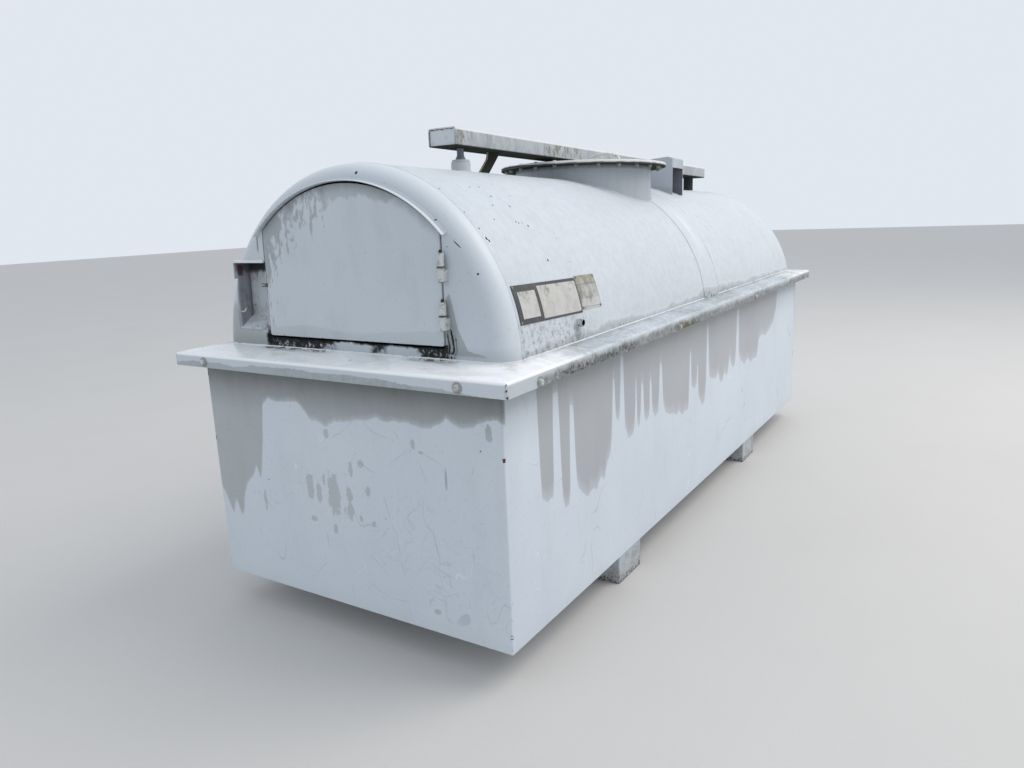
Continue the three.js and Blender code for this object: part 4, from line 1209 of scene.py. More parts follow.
def makeDoorBarrel(bottom):
    r, x, axis = hinge["radius"], hinge["x"], tank["frontFace"] - hinge["proud"]
    low = bottom + hinge["length"] + hinge["washerHeight"] + hinge["play"]
    high, bore = low + hinge["length"], hinge["pin"] + hinge["play"]
    profile = [(bore, low), (r - 0.001, low), (r, low + 0.001), (r, high - 0.0015), (r - 0.0015, high), (bore, high)]
    leaf = box((x - hinge["doorLeaf"], axis + 0.003, low + 0.003),
               (x - 0.0085, tank["frontFace"] - door["proud"] - 0.0001, high - 0.003))
    return joinShapes(revolve(profile, steps=32, centre=(x, axis), looped=True), leaf)


hingePaint = makeHingePaint()
for label, bottom in hinge["places"].items():
    addPiece(f"{label}FrameBarrel", makeFrameBarrel(bottom), hingePaint,
             [f"{label}_hinge_frame_barrel"])
    addPiece(f"{label}DoorBarrel", makeDoorBarrel(bottom), hingePaint, [f"{label}_hinge_door_barrel"],
             body="door")

latch = {"z": 0.235, "height": 0.012, "thick": 0.004, "outside": 0.023, "inside": 0.005, "slotFrom": 0.004,
         "slotHeight": 0.005}


def makeLatch():
    front, z = tank["frontFace"] - door["proud"] - latch["thick"] - 0.0001, latch["z"]
    start, tall, gap = door["left"] - latch["outside"], latch["height"] / 2, latch["slotHeight"] / 2
    tongue = box((start, front, z - tall), (door["left"] + latch["inside"], front + latch["thick"], z + tall))
    slot = box((start - 0.01, front - 0.01, z - gap), (door["left"] - latch["slotFrom"], front + 0.02, z + gap))
    return cutShape(tongue, slot)


latchSteel = makeWornSteel("latchSteel", (0.15, 0.11, 0.085))
addPiece("latchTongue", makeLatch(), latchSteel, ["latch_tongue"], body="door", edge=0.0008)

# plates and pipe stub on the barrel
print("plates and stub")
badge = {"from": -1.609, "to": -1.212, "low": 11.3, "high": 22.3, "sheet": 0.002,
         "panels": [(0.057, 0.31, 0.143, 0.835), (0.358, 0.983, 0.062, 0.925)]}
dataPlate = {"from": -1.206, "to": -1.066, "low": 12.0, "high": 22.8, "sheet": 0.0015}
stub = {"y": -1.261, "z": 0.094, "radius": 0.0135, "bore": 0.01, "reach": 0.024, "round": 0.0015}


def makePlate(size):
    steps, low, high = 10, radians(size["low"]), radians(size["high"])
    inner = tank["radius"] + fit
    outer = inner + size["sheet"]
    ring = [(outer, low + (high - low) * i / steps) for i in range(steps + 1)]
    ring += [(inner, high - (high - low) * i / steps) for i in range(steps + 1)]
    places = [size["from"] + (size["to"] - size["from"]) * k / 6 for k in range(7)]
    return loft([[(r * cos(a), y, r * sin(a)) for r, a in ring] for y in places])


def plateShares(size):
    # how far along a plate and how far up it each place is, from 0 to 1
    _, y, z = coat["parts"]
    low, high = (tank["radius"] * sin(radians(size[end])) for end in ("low", "high"))
    return times(minus(y, size["from"]), 1 / (size["to"] - size["from"])), times(minus(z, low), 1 / (high - low))


def makeBadgePaint():
    startCoat("badgePaint", (0.052, 0.053, 0.055), 0.5)
    along, up = plateShares(badge)
    panels = None
    for left, right, bottom, top in badge["panels"]:
        panel = times(between(along, left, right, 0.002), between(up, bottom, top, 0.006))
        panels = panel if panels is None else either(panels, panel)
    lay(panels, (0.55, 0.545, 0.52), 0.5)
    faded = patches(22, 0.42, 0.66, 6, 0.65)
    lay((panels, faded, 0.7), (0.44, 0.425, 0.385), 0.6)
    brown = times(panels, patches(38, 0.52, 0.64, 6, 0.72, shift=(3, 1, 2)), scaled(band(up, 0.4, 0.95), 0.7, 0.15))
    lay(brown, (0.23, 0.205, 0.16), 0.7)
    dusty = patches(30, 0.5, 0.7, 5, shift=(1, 6, 2))
    lay((dusty, minus(1.0, panels), 0.4), (0.13, 0.13, 0.115), 0.7)
    return sealCoat()


def makeDataPlatePaint():
    startCoat("dataPlatePaint", (0.46, 0.455, 0.43), 0.6)
    up = plateShares(dataPlate)[1]
    lay(patches(26, 0.42, 0.62, 7, 0.72), (0.3, 0.29, 0.25), 0.7)
    lay((band(up, 0.7, 0.95), 0.7), (0.36, 0.35, 0.27), 0.75)
    lay((between(up, 0.73, 0.76, 0.01), 0.6), (0.15, 0.15, 0.12), 0.75)
    lay((band(up, 0.34, 0.28), 0.55), (0.6, 0.61, 0.6), 0.55)
    lay((between(up, 0.055, 0.075, 0.008), 0.7), (0.13, 0.13, 0.12), 0.6)
    lay((band(coat["parts"][1], dataPlate["to"] - 0.004, dataPlate["to"] - 0.002), 0.5), (0.16, 0.16, 0.14), 0.6)
    addLichen(times(patches(14, 0.42, 0.56, 5), 0.8), 0.8)
    return sealCoat()


addPiece("badgePlate", makePlate(badge), makeBadgePaint(), ["badge_plate"])
addPiece("dataPlate", makePlate(dataPlate), makeDataPlatePaint(), ["data_plate"])

ontoSide = Matrix.Translation((0, stub["y"], stub["z"])) @ Matrix.Rotation(pi / 2, 4, "Y")


def barrelHeight(x):
    return sqrt(tank["radius"] ** 2 - x * x)


def makeStub():
    base = barrelHeight(stub["z"])
    end, r, bore, bend = base + stub["reach"], stub["radius"], stub["bore"], stub["round"]
    tube = revolve([(r, base - 0.006), (r, end - bend), (r - bend, end), (bore + 0.0008, end), (bore, end - 0.0008),
                    (bore, base - 0.006)], steps=36, looped=True)
    tube.transform(ontoSide)
    return tube


def makeStubPaint():
    startPaint("stubPaint", (0.5, 0.54, 0.57))
    lay(band(coat["parts"][0], tank["radius"] + 0.012, tank["radius"] + 0.016), (0.4, 0.42, 0.42))
    # the bore is painted near black as the shade inside the pipe
    reach = nearestMark(coat["place"], [((0, stub["y"], stub["z"]), (0, 0, 0), (1000, 1, 1))])
    lay(band(reach, stub["bore"] + 0.0006, stub["bore"]), (0.012, 0.011, 0.01), 0.9)
    tint(patches(90, 0.55, 0.66, 4), (0.3, 0.27, 0.23), 0.7)
    return sealCoat()


stubPaint = makeStubPaint()
addPiece("drainStub", makeStub(), stubPaint, ["drain_stub"])

# manhole
print("manhole")
manhole = {"centre": (0.025, -0.05), "neck": 0.326, "wall": 0.006, "cover": 0.396, "flangeTop": 0.687, "flange": 0.008,
           "lid": 0.008, "edge": 0.0015, "steps": 120}
handle = {"x": 0.192, "y": -0.17, "radius": 0.0053}
handlePoints = [(-.078, 0, 0), (-.076, 0, .015), (-.062, 0, .0245), (-.038, 0, .0325), (0, 0, .037), (.038, 0, .0325),
                (.062, 0, .0245), (.076, 0, .015), (.078, 0, 0)]


def ringAround(centre, radius, level=None, sink=0.0, steps=40):
    # a level ring round an upright axis, or one that lies on the barrel
    ring = []
    for a, b in circle(steps):
        x = centre[0] + radius * a
        ring.append((x, centre[1] + radius * b, barrelHeight(x) - sink if level is None else level))
    return ring


def makeNeck():
    top, outer = manhole["flangeTop"] - manhole["flange"] - fit, manhole["neck"]
    walls = [(outer, None), (outer, top), (outer - manhole["wall"], top), (outer - manhole["wall"], None)]
    return loft([ringAround(manhole["centre"], radius, level, sunk, manhole["steps"]) for radius, level in walls],
                looped=True)


def makeFlange():
    top, low, e = manhole["flangeTop"], manhole["flangeTop"] - manhole["flange"], manhole["edge"]
    outer, inner = manhole["cover"], manhole["neck"] - manhole["wall"]
    return revolve([(inner, low), (outer - e, low), (outer, low + e), (outer, top - e), (outer - e, top),
                    (inner, top)], steps=manhole["steps"], centre=manhole["centre"], looped=True)


def makeLid():
    low, e, outer = manhole["flangeTop"] + fit, manhole["edge"], manhole["cover"]
    top = low + manhole["lid"]
    profile = [(0, low), (outer * 0.5, low), (outer - e, low), (outer, low + e), (outer, top - e), (outer - e, top)]
    profile += [(outer * k / 5, top) for k in range(4, -1, -1)]
    return revolve(profile, steps=manhole["steps"], centre=manhole["centre"])


def makeLidPaint():
    startPaint("lidPaint", (0.71, 0.74, 0.745))
    x, _, z = coat["parts"]
    joint, upper = manhole["flangeTop"], manhole["flangeTop"] + manhole["lid"]
    top = band(z, upper - 0.0008, upper - 0.0002)
    addLichen(times(top, patches(5, 0.4, 0.55, 6)), 0.9)
    addLichen(times(band(x, 0.05, -0.2), patches(12, 0.42, 0.56, 5, shift=(1, 1, 1))), 0.25)
    lay((between(z, joint - 0.008, upper - 0.0002, 0.001), 0.7), (0.82, 0.84, 0.83), 0.5)
    # the flange under the lid is painted black, as shadow under the lid with growth in it, thinner here and there and
    # deeper on the left; its underside is painted dark as shade
    patchy = cloud(17, 6, 0.7, stretch=(1, 1, 3), shift=(3, 3, 1))
    level = scaled(band(x, 0.02, -0.14), -0.006, scaled(patchy, 0.009, z))
    lay((band(level, joint + 0.0042, joint + 0.0018), 0.93), (0.04, 0.046, 0.036), 0.9)
    lay((band(z, joint - manhole["flange"] + 0.0008, joint - manhole["flange"] + 0.0004), 0.7), (0.04, 0.048, 0.036),
        0.9)
    lay((specks(22, 0.16, shift=(0.7, 0.2, 0.4)), 0.85), (0.075, 0.08, 0.04), 0.9)
    return sealCoat()


def makeNeckPaint():
    startPaint("neckPaint", (0.43, 0.465, 0.5))
    z = coat["parts"][2]
    runs = cloud(8, 5, 0.6, stretch=(3, 3, 0.3))
    tint((band(runs, 0.5, 0.7), 0.3), (0.8, 0.8, 0.78), 0.5)
    # painted shade under the flange, at the top of the neck
    under = band(scaled(cloud(30, 5), 0.02, z), 0.668, 0.688)
    tint((under, 0.85), (0.34, 0.35, 0.33), 0.6)
    return sealCoat()


lidPaint, neckPaint = makeLidPaint(), makeNeckPaint()
greyedSteel = makeWornSteel("greyedSteel", (0.72, 0.73, 0.71), rustiness=0.2)
addPiece("manholeNeck", makeNeck(), neckPaint, ["manhole_neck"])
addPiece("manholeFlange", makeFlange(), lidPaint, ["manhole_flange"])
addPiece("manholeLid", makeLid(), lidPaint, ["manhole_lid"])
lidTop = manhole["flangeTop"] + fit + manhole["lid"]
foot = Vector((manhole["centre"][0] + handle["x"], manhole["centre"][1] + handle["y"], lidTop - 0.001))
handlePath = [foot + point for point in smoothPath(handlePoints, 8)]
addPiece("lidHandle", rod(handlePath, handle["radius"], 16), greyedSteel, ["lid_handle"])

# beam, posts and brace
print("beam")
beam = {"halfWidth": 0.063, "low": 0.712, "high": 0.779, "wall": 0.004, "corner": 0.008, "front": -1.14, "rear": 1.64,
        "recess": 0.004, "cap": 0.004, "capEase": 0.0006, "capCorner": 0.0037}
post = {"y": -1.027, "radius": 0.0135, "cone": 0.021, "coneHeight": 0.015, "socket": 0.037, "socketTop": 0.661,
        "collar": 0.009, "collarRadius": 0.034}
rearPost = {"y": 1.505, "radius": 0.03}
# front and rear edge of the brace, from its foot in the barrel up to the beam
brace = {"front": [(-0.977, 0.56), (-0.848, 0.685), (-0.842, 0.712)], "rear": [(-0.906, 0.56), (-0.755, 0.712)],
         "half": 0.004}


def roundedRing(halfWidth, low, high, corner, y, steps=4):
    right, top, bottom = halfWidth - corner, high - corner, low + corner
    ring = []
    for cx, cz, start in ((right, top, 0), (-right, top, 1), (-right, bottom, 2), (right, bottom, 3)):
        for i in range(steps + 1):
            angle = pi / 2 * (start + i / steps)
            ring.append(Vector((cx + corner * cos(angle), y, cz + corner * sin(angle))))
    return ring


def makeBeam():
    half, low, high, wall, corner = (beam[part] for part in ("halfWidth", "low", "high", "wall", "corner"))
    places = [beam["front"] + (beam["rear"] - beam["front"]) * k / 24 for k in range(25)]
    rings = [roundedRing(half, low, high, corner, y) for y in places]
    rings += [roundedRing(half - wall, low + wall, high - wall, corner - wall, y) for y in (places[-1], places[0])]
    return loft(rings, looped=True)


def makeCap(y):
    # the real end plate is square and leaves small dark gaps in the rounded corners; this one follows the corners a
    # little inside the beam's end, and the gaps are painted on it as shade
    inset, thick, ease = beam["wall"] + fit, beam["cap"], beam["capEase"]
    ring = roundedRing(beam["halfWidth"] - inset, beam["low"] + inset, beam["high"] - inset, beam["capCorner"], 0.0)
    middle = Vector((0, 0, (beam["low"] + beam["high"]) / 2))
    return loft([[middle + (point - middle) * share + Vector((0, y + along, 0)) for point in ring] for along,
                 share in ((0, 0.985), (ease, 1.0), (thick - ease, 1.0), (thick, 0.985))])


def makeBeamPaint():
    startPaint("beamPaint", (0.44, 0.475, 0.495))
    x, y, z = coat["parts"]
    top = band(z, beam["high"] - 0.005, beam["high"] - 0.001)
    addLichen(times(top, patches(7, 0.36, 0.55, 6)), 0.6)
    hanging = cloud(16, 6, 0.68, stretch=(1, 1.3, 0.45))
    tint((band(hanging, 0.46, 0.64), 0.65), (0.62, 0.62, 0.58), 0.6)
    # growth gathers at the front end and beside the manhole lid
    grown = either(band(y, -0.99, -1.08), between(y, -0.5, -0.12, 0.06), 0.3)
    spotty = patches(34, 0.44, 0.6, 7, 0.78, stretch=(1, 1, 0.6), shift=(2, 0, 1))
    lay((grown, spotty, 0.85), (0.195, 0.185, 0.14), 0.8)
    tiny = patches(75, 0.6, 0.68, 4, 0.7, stretch=(1, 1, 0.7), shift=(5, 1, 1))
    lay((tiny, either(grown, 0.35), 0.85), (0.09, 0.085, 0.05), 0.85)
    lay((between(z, beam["high"] - 0.01, beam["high"] - 0.001, 0.002), 0.8), (0.78, 0.8, 0.8), 0.45)
    # the underside is painted near black as shade
    under = band(z, beam["low"] + 0.007, beam["low"] + 0.0025)
    lay((under, 0.95), (0.026, 0.031, 0.021), 0.9)
    # the inner walls are painted dark as shade inside the hollow beam
    inner = beam["halfWidth"] - beam["wall"] + fit
    inside = times(band(unsigned(x), inner, inner - 0.0005),
                   between(z, beam["low"] + 0.0042, beam["high"] - 0.0042, 0.0004))
    lay((inside, 0.5), (0.02, 0.02, 0.017), 0.9)
    return sealCoat()


def makeCapPaint():
    startPaint("capPaint", (0.62, 0.66, 0.69))
    x, _, z = coat["parts"]
    # black in the corners, as painted shade of the corner gaps with dirt in it, and black spots along the upper edge;
    # the rest only a little dirty
    middle = (beam["low"] + beam["high"]) / 2
    side = calc("DIVIDE", unsigned(x), beam["halfWidth"])
    tall = calc("DIVIDE", minus(z, middle), beam["high"] - middle)
    rough = scaled(cloud(70, 5, 0.7), 0.5, -0.25)
    corner = plus(times(side, unsigned(tall)), rough)
    lay((band(corner, 0.76, 0.88), 0.9), (0.025, 0.024, 0.018), 0.9)
    upper = plus(tall, rough)
    lay((band(upper, 0.76, 0.84), 0.9), (0.055, 0.046, 0.028), 0.9)
    lay((band(plus(side, rough), 0.92, 1.0), 0.5), (0.16, 0.16, 0.13), 0.8)
    tint(patches(30, 0.52, 0.66, 5), (0.85, 0.85, 0.84))
    return sealCoat()


beamPaint, capPaint = makeBeamPaint(), makeCapPaint()
addPiece("topBeam", makeBeam(), beamPaint, ["beam"])
addPiece("beamFrontPlate", makeCap(beam["front"] + beam["recess"]), capPaint, ["beam_front_cap"])
addPiece("beamRearPlate", makeCap(beam["rear"] - beam["recess"] - beam["cap"]), capPaint,
         ["beam_rear_cap"])


def makeSocket():
    r, c, top, axis = post["socket"], post["collarRadius"], post["socketTop"], (0, post["y"])
    collar = top + post["collar"]
    walls = [(r, top), (c - 0.0006, top), (c, top + 0.001), (c, collar - 0.001), (c - 0.001, collar)]
    return loft([ringAround(axis, r, sink=sunk)] + [ringAround(axis, radius, z) for radius, z in walls])


def makeFrontPost():
    base, r, cone = post["socketTop"] + post["collar"], post["radius"], post["cone"]
    top = base + post["coneHeight"]
    walls = [(cone, base), (cone - 0.001, base + 0.003), (r + 0.001, top), (r, top + 0.003), (r, beam["low"] + 0.001)]
    return loft([ringAround((0, post["y"]), radius, z, steps=28) for radius, z in walls])


def makeRearPost():
    axis, r = (0, rearPost["y"]), rearPost["radius"]
    return loft([ringAround(axis, r, z, sunk) for z in (None, 0.66, 0.69, beam["low"] + 0.001)])


def makeBrace():
    low, half, high, ease = barrelHeight(0.004) - 0.002, brace["half"], beam["low"] + 0.0005, 0.001

    def edgeAt(points, z):
        for (y0, z0), (y1, z1) in zip(points, points[1:]):
            if z <= z1 or z1 == points[-1][1]:
                return y0 + (y1 - y0) * (z - z0) / (z1 - z0)

    rings = []
    for k in range(10):
        z = low + (high - low) * k / 9
        front, rear = edgeAt(brace["front"], z), edgeAt(brace["rear"], z)
        side = [(half - ease, front), (half, front + ease), (half, rear - ease), (half - ease, rear)]
        rings.append([(x, y, z) for x, y in side + [(-x, y) for x, y in side[::-1]]])
    return loft(rings)


def makeMossyPaint(name, colour, amount, paleEdge=None, dull=False):
    startPaint(name, colour)
    if dull:
        coat["roughness"] = 0.86
    addLichen(patches(11, 0.62 - amount * 0.3, 0.7 - amount * 0.25, 6), 0.9 * amount)
    dark = patches(20, 0.66 - amount * 0.25, 0.76 - amount * 0.2, 6, 0.7, shift=(6, 2, 4))
    lay((dark, 0.85), (0.05, 0.052, 0.035), 0.9)
    if paleEdge:
        # the edge facing the front is painted lighter
        _, y, z = coat["parts"]
        edge = drawnLine(z, paleEdge[0][1], paleEdge[-1][1], [(up, along + 1) for along, up in paleEdge])
        lay((band(minus(plus(y, 1.0), edge), 0.0035, 0.0015), 0.8), (0.42, 0.42, 0.36), 0.7)
    return sealCoat()


# the brace's near-black paint is partly painted shade under the beam, partly moss
bracePaint = makeMossyPaint("bracePaint", (0.036, 0.04, 0.029), 0.3, brace["front"], dull=True)
socketPaint = makeMossyPaint("socketPaint", (0.54, 0.57, 0.59), 0.15)
postPaint = makeMossyPaint("postPaint", (0.2, 0.23, 0.26), 0.15)
# the rear post's near-black paint is partly painted shade under the beam, partly dirt
rearPostPaint = makeMossyPaint("rearPostPaint", (0.045, 0.045, 0.047), 0.1, dull=True)
addPiece("postSocket", makeSocket(), socketPaint, ["post_socket"])
addPiece("frontPost", makeFrontPost(), postPaint, ["beam_front_post"])
addPiece("rearPost", makeRearPost(), rearPostPaint, ["beam_rear_post"])
addPiece("beamBrace", makeBrace(), bracePaint, ["beam_brace"], crease=60)

# cowl
print("cowl")
cowl = {"left": 0.152, "right": 0.276, "front": 0.492, "rear": 0.65, "wall": 0.004, "leftEave": 0.755, "ridgeX": 0.25,
        "ridge": 0.762, "rightEave": 0.752, "band": 0.047}


def makeCowl():
    left, right, front, rear, eave, w = (cowl[part] for part in ("left", "right", "front", "rear", "rightEave",
                                                                 "wall"))

    def shellPart(inset, foot):
        outline = [(left + inset, foot), (right - inset, foot), (right - inset, eave - inset),
                   (cowl["ridgeX"], cowl["ridge"] - inset), (left + inset, cowl["leftEave"] - inset)]
        return loft([[(x, y, z if inset else max(z, barrelHeight(x) - sunk)) for x,
                      z in outline] for y in (front + inset, rear - inset)])

    window = box((right - 0.02, front + w, 0.4), (right + 0.02, rear - w, eave - cowl["band"]))
    return cutShape(shellPart(0.0, 0.5), shellPart(w, 0.45), window)


def makeCowlPaint():
    # the cowl's paint is set darker than the tank's as painted shade
    startPaint("cowlPaint", (0.47, 0.51, 0.56))
    x, y, z = coat["parts"]
    # the inside is painted dark and bluish as shade inside the cowl
    inside = times(between(y, cowl["front"] + 0.0035, cowl["rear"] - 0.0035, 0.0003),
                   between(x, cowl["left"] + 0.0035, cowl["right"] - 0.0005, 0.0003),
                   band(z, cowl["rightEave"] - 0.0035, cowl["rightEave"] - 0.0045))
    lay((inside, 0.9), (0.15, 0.155, 0.185), 0.7)
    addLichen(times(band(x, 0.268, 0.275), patches(12, 0.47, 0.6, 6)), 0.4)
    tint((band(z, 0.62, 0.59), 0.4), (0.6, 0.6, 0.55), 0.7)
    return sealCoat()


addPiece("gaugeCowl", makeCowl(), makeCowlPaint(), ["gauge_cowl"], edge=0.0012)

# bolts, beads of weld and sealant, and moss
print("bolts and beads")


def newTree(name, inputs):
    kinds = {"Seed": "Int", "Finish": "Material", "Geometry": "Geometry"}
    tree = bpy.data.node_groups.new(name, "GeometryNodeTree")
    tree.interface.new_socket("Geometry", in_out="OUTPUT", socket_type="NodeSocketGeometry")
    for label in ("Geometry", *inputs, "Seed", "Finish"):
        tree.interface.new_socket(label, in_out="INPUT", socket_type="NodeSocket" + kinds.get(label, "Float"))
    return tree, addNode(tree, "NodeGroupInput").outputs


def endTree(tree, shape, material, smooth=True):
    shape = output(tree, "GeometryNodeRealizeInstances", {0: shape})
    if smooth:
        shape = output(tree, "GeometryNodeSetShadeSmooth", {"Geometry": shape})
    addNode(tree, "NodeGroupOutput", {0: output(tree, "GeometryNodeSetMaterial",
                                                {"Geometry": shape, "Material": material})})
    return tree


def randomValue(tree, low, high, seed):
    node = addNode(tree, "FunctionNodeRandomValue", {"Seed": seed}, data_type="FLOAT")
    node.inputs[2].default_value, node.inputs[3].default_value = low, high
    return node.outputs[1]


def roughened(tree, shape, lumps, size):
    # moves the surface in and out by a noise
    push = output(tree, "ShaderNodeVectorMath", {0: output(tree, "GeometryNodeInputNormal"),
                                                 "Scale": times(minus(lumps, 0.5), size)}, operation="SCALE")
    return output(tree, "GeometryNodeSetPosition", {"Geometry": shape, "Offset": push})


def makeBoltTree():
    tree, given = newTree("boltRow", ("Across Flats", "Head Height", "Washer Height"))
    flats, head, washer = (given[label] for label in ("Across Flats", "Head Height", "Washer Height"))

    def cone(base, top, depth):
        return output(tree, "GeometryNodeMeshCone", {"Vertices": 6, "Radius Bottom": times(flats, base),
                                                     "Radius Top": times(flats, top), "Depth": depth})

    def raised(shape, height):
        offset = output(tree, "ShaderNodeCombineXYZ", {"Z": height})
        return output(tree, "GeometryNodeTransform", {"Geometry": shape, "Translation": offset})

    disc = output(tree, "GeometryNodeMeshCylinder", {"Vertices": 20, "Radius": times(flats, 0.66), "Depth": washer})
    bolt = addNode(tree, "GeometryNodeJoinGeometry")
    crown = raised(cone(0.56, 0.44, times(head, 0.14)), plus(washer, head))
    for shape in (disc, raised(cone(0.577, 0.56, head), washer), crown):
        tree.links.new(shape, bolt.inputs[0])
    facing = output(tree, "GeometryNodeInputNamedAttribute", {"Name": "facing"}, data_type="FLOAT_VECTOR")
    turn = output(tree, "FunctionNodeAlignRotationToVector", {"Vector": facing}, axis="Z")
    angle = output(tree, "FunctionNodeAxisAngleToRotation",
                   {"Axis": (0, 0, 1), "Angle": randomValue(tree, 0.0, 6.28, given["Seed"])})
    whole = output(tree, "FunctionNodeRotateRotation", {0: turn, 1: angle}, rotation_space="LOCAL")
    points = output(tree, "GeometryNodeMeshToPoints", {"Mesh": given["Geometry"]})
    row = output(tree, "GeometryNodeInstanceOnPoints", {"Points": points, "Instance": bolt.outputs[0],
                                                        "Rotation": whole})
    return endTree(tree, row, given["Finish"], smooth=False)


def makeBeadTree():
    tree, given = newTree("weldBead", ("Radius", "Ripple", "Ripple Scale", "Spacing"))
    curve = output(tree, "GeometryNodeMeshToCurve", {"Mesh": given["Geometry"]})
    fine = output(tree, "GeometryNodeResampleCurve", {"Curve": curve, "Length": given["Spacing"]}, mode="LENGTH")
    ring = output(tree, "GeometryNodeCurvePrimitiveCircle", {"Resolution": 8, "Radius": given["Radius"]})
    tube = output(tree, "GeometryNodeCurveToMesh", {"Curve": fine, "Profile Curve": ring, "Fill Caps": True})
    lumps = output(tree, "ShaderNodeTexNoise", {"Vector": output(tree, "GeometryNodeInputPosition"),
                                                "W": given["Seed"], "Scale": given["Ripple Scale"], "Detail": 2.0},
                   noise_dimensions="4D")
    return endTree(tree, roughened(tree, tube, lumps, given["Ripple"]), given["Finish"])


def makeMossTree():
    tree, given = newTree("mossTufts", ("Density", "Tuft Size"))
    points = addNode(tree, "GeometryNodeDistributePointsOnFaces",
                     {"Mesh": given["Geometry"], "Density": given["Density"], "Seed": given["Seed"]}).outputs
    tuft = output(tree, "GeometryNodeMeshIcoSphere", {"Radius": given["Tuft Size"], "Subdivisions": 2})
    row = output(tree, "GeometryNodeInstanceOnPoints", {"Points": points[0], "Instance": tuft,
                                                        "Rotation": points["Rotation"],
                                                        "Scale": randomValue(tree, 0.35, 1.0, given["Seed"])})
    real = output(tree, "GeometryNodeRealizeInstances", {0: row})
    lumps = output(tree, "ShaderNodeTexNoise", {"Vector": output(tree, "GeometryNodeInputPosition"), "Scale": 700.0,
                                                "Detail": 1.0})
    return endTree(tree, roughened(tree, real, lumps, given["Tuft Size"]), given["Finish"])


boltTree, beadTree, mossTree = makeBoltTree(), makeBeadTree(), makeMossTree()


def growPiece(name, bm, tree, values, material, inTank=True, facings=None):
    # runs a geometry tree over a few points, a line or a patch, and keeps the plain mesh it makes
    if inTank:
        bm.transform(toTank)
    mesh = meshOf(name + "Guide", bm)
    if facings:
        turned = [toTank.to_3x3() @ Vector(way) if inTank else Vector(way) for way in facings]
        mesh.attributes.new("facing", "FLOAT_VECTOR", "POINT").data.foreach_set("vector",
                                                                                [c for way in turned for c in way])
    guide = newObject(name + "Guide", mesh)
    growth = guide.modifiers.new(name, "NODES")
    growth.node_group = tree
    sockets = {item.name: item.identifier for item in tree.interface.items_tree
               if item.item_type == "SOCKET" and item.in_out == "INPUT"}
    for label, value in {**values, "Finish": material}.items():
        growth[sockets[label]] = value
    grown = bpy.data.meshes.new_from_object(guide.evaluated_get(bpy.context.evaluated_depsgraph_get()))
    bpy.data.objects.remove(guide)
    shape = bmesh.new()
    shape.from_mesh(grown)
    bpy.data.meshes.remove(grown)
    return addPiece(name, shape, material, inTank=False)


def pointsShape(points):
    bm = bmesh.new()
    for point in points:
        bm.verts.new(point)
    return bm


def lineShape(points, closed=False):
    bm = bmesh.new()
    made = [bm.verts.new(point) for point in points]
    for first, second in zip(made, made[1:]):
        bm.edges.new((first, second))
    if closed:
        bm.edges.new((made[-1], made[0]))
    return bm


lipBolts = {"Across Flats": 0.017, "Head Height": 0.007, "Washer Height": 0.0024, "Seed": 5}
lipBoltLift = {"end": 0.0004, "side": 0.0002}
spots, ways = [], []
for side in (-1, 1):
    for x in lipBoltPlaces["end"]:
        spots.append((x, side * (rim["halfLength"] + lipBoltLift["end"]), boltMark["end"][0]))
        ways.append((0, side, 0))
    for y in lipBoltPlaces["side"]:
        spots.append((side * (rim["halfWidth"] + lipBoltLift["side"]), y, boltMark["side"][0]))
        ways.append((side, 0, 0))
boltSteel = makeWornSteel("boltSteel", (0.6, 0.62, 0.61), tilted=False, rustiness=0.3, metal=0.3)
growPiece("lipBolts", pointsShape(spots), boltTree, lipBolts, boltSteel, inTank=False, facings=ways)

flangeBolts = {"Across Flats": 0.015, "Head Height": 0.008, "Washer Height": 0.0015, "Seed": 2}
flangeCircle = {"count": 24, "radius": 0.3715, "first": 7.5, "lift": 0.0008}
nutSteel = makeWornSteel("nutSteel", (0.34, 0.355, 0.345), rustiness=0.5, metal=0.2)
upper, lower = [], []
for i in range(flangeCircle["count"]):
    angle = radians(flangeCircle["first"]) + 2 * pi * i / flangeCircle["count"]
    x = manhole["centre"][0] + flangeCircle["radius"] * cos(angle)
    y = manhole["centre"][1] + flangeCircle["radius"] * sin(angle)
    upper.append((x, y, lidTop + flangeCircle["lift"]))
    lower.append((x, y, manhole["flangeTop"] - manhole["flange"] - flangeCircle["lift"]))
growPiece("lidBolts", pointsShape(upper), boltTree, {**flangeBolts, "Head Height": 0.003, "Washer Height": 0.001},
          greyedSteel, facings=[(0, 0, 1)] * len(upper))
growPiece("lidNuts", pointsShape(lower), boltTree, {**flangeBolts, "Seed": 3}, nutSteel,
          facings=[(0, 0, -1)] * len(lower))
rivetInset = {"along": 0.006, "degrees": 0.55}
badgeRivets = {"Across Flats": 0.007, "Head Height": 0.0015, "Washer Height": 0.0006, "Seed": 8}
spots, ways = [], []
for size in (badge, dataPlate):
    for along in (size["from"] + rivetInset["along"], size["to"] - rivetInset["along"]):
        for angle in (radians(size["low"] + rivetInset["degrees"]), radians(size["high"] - rivetInset["degrees"])):
            way = Vector((cos(angle), 0, sin(angle)))
            spots.append(way * (tank["radius"] + fit + size["sheet"]) + Vector((0, along, 0)))
            ways.append(way)
growPiece("plateRivets", pointsShape(spots), boltTree, badgeRivets, wornSteel, facings=ways)


def makeBeadPaint(name, colour, dirt):
    startPaint(name, colour, tilted=False)
    lay(patches(24, 0.62 - dirt * 0.2, 0.74 - dirt * 0.2, 6, 0.7), (0.2, 0.195, 0.15), 0.8)
    return sealCoat()


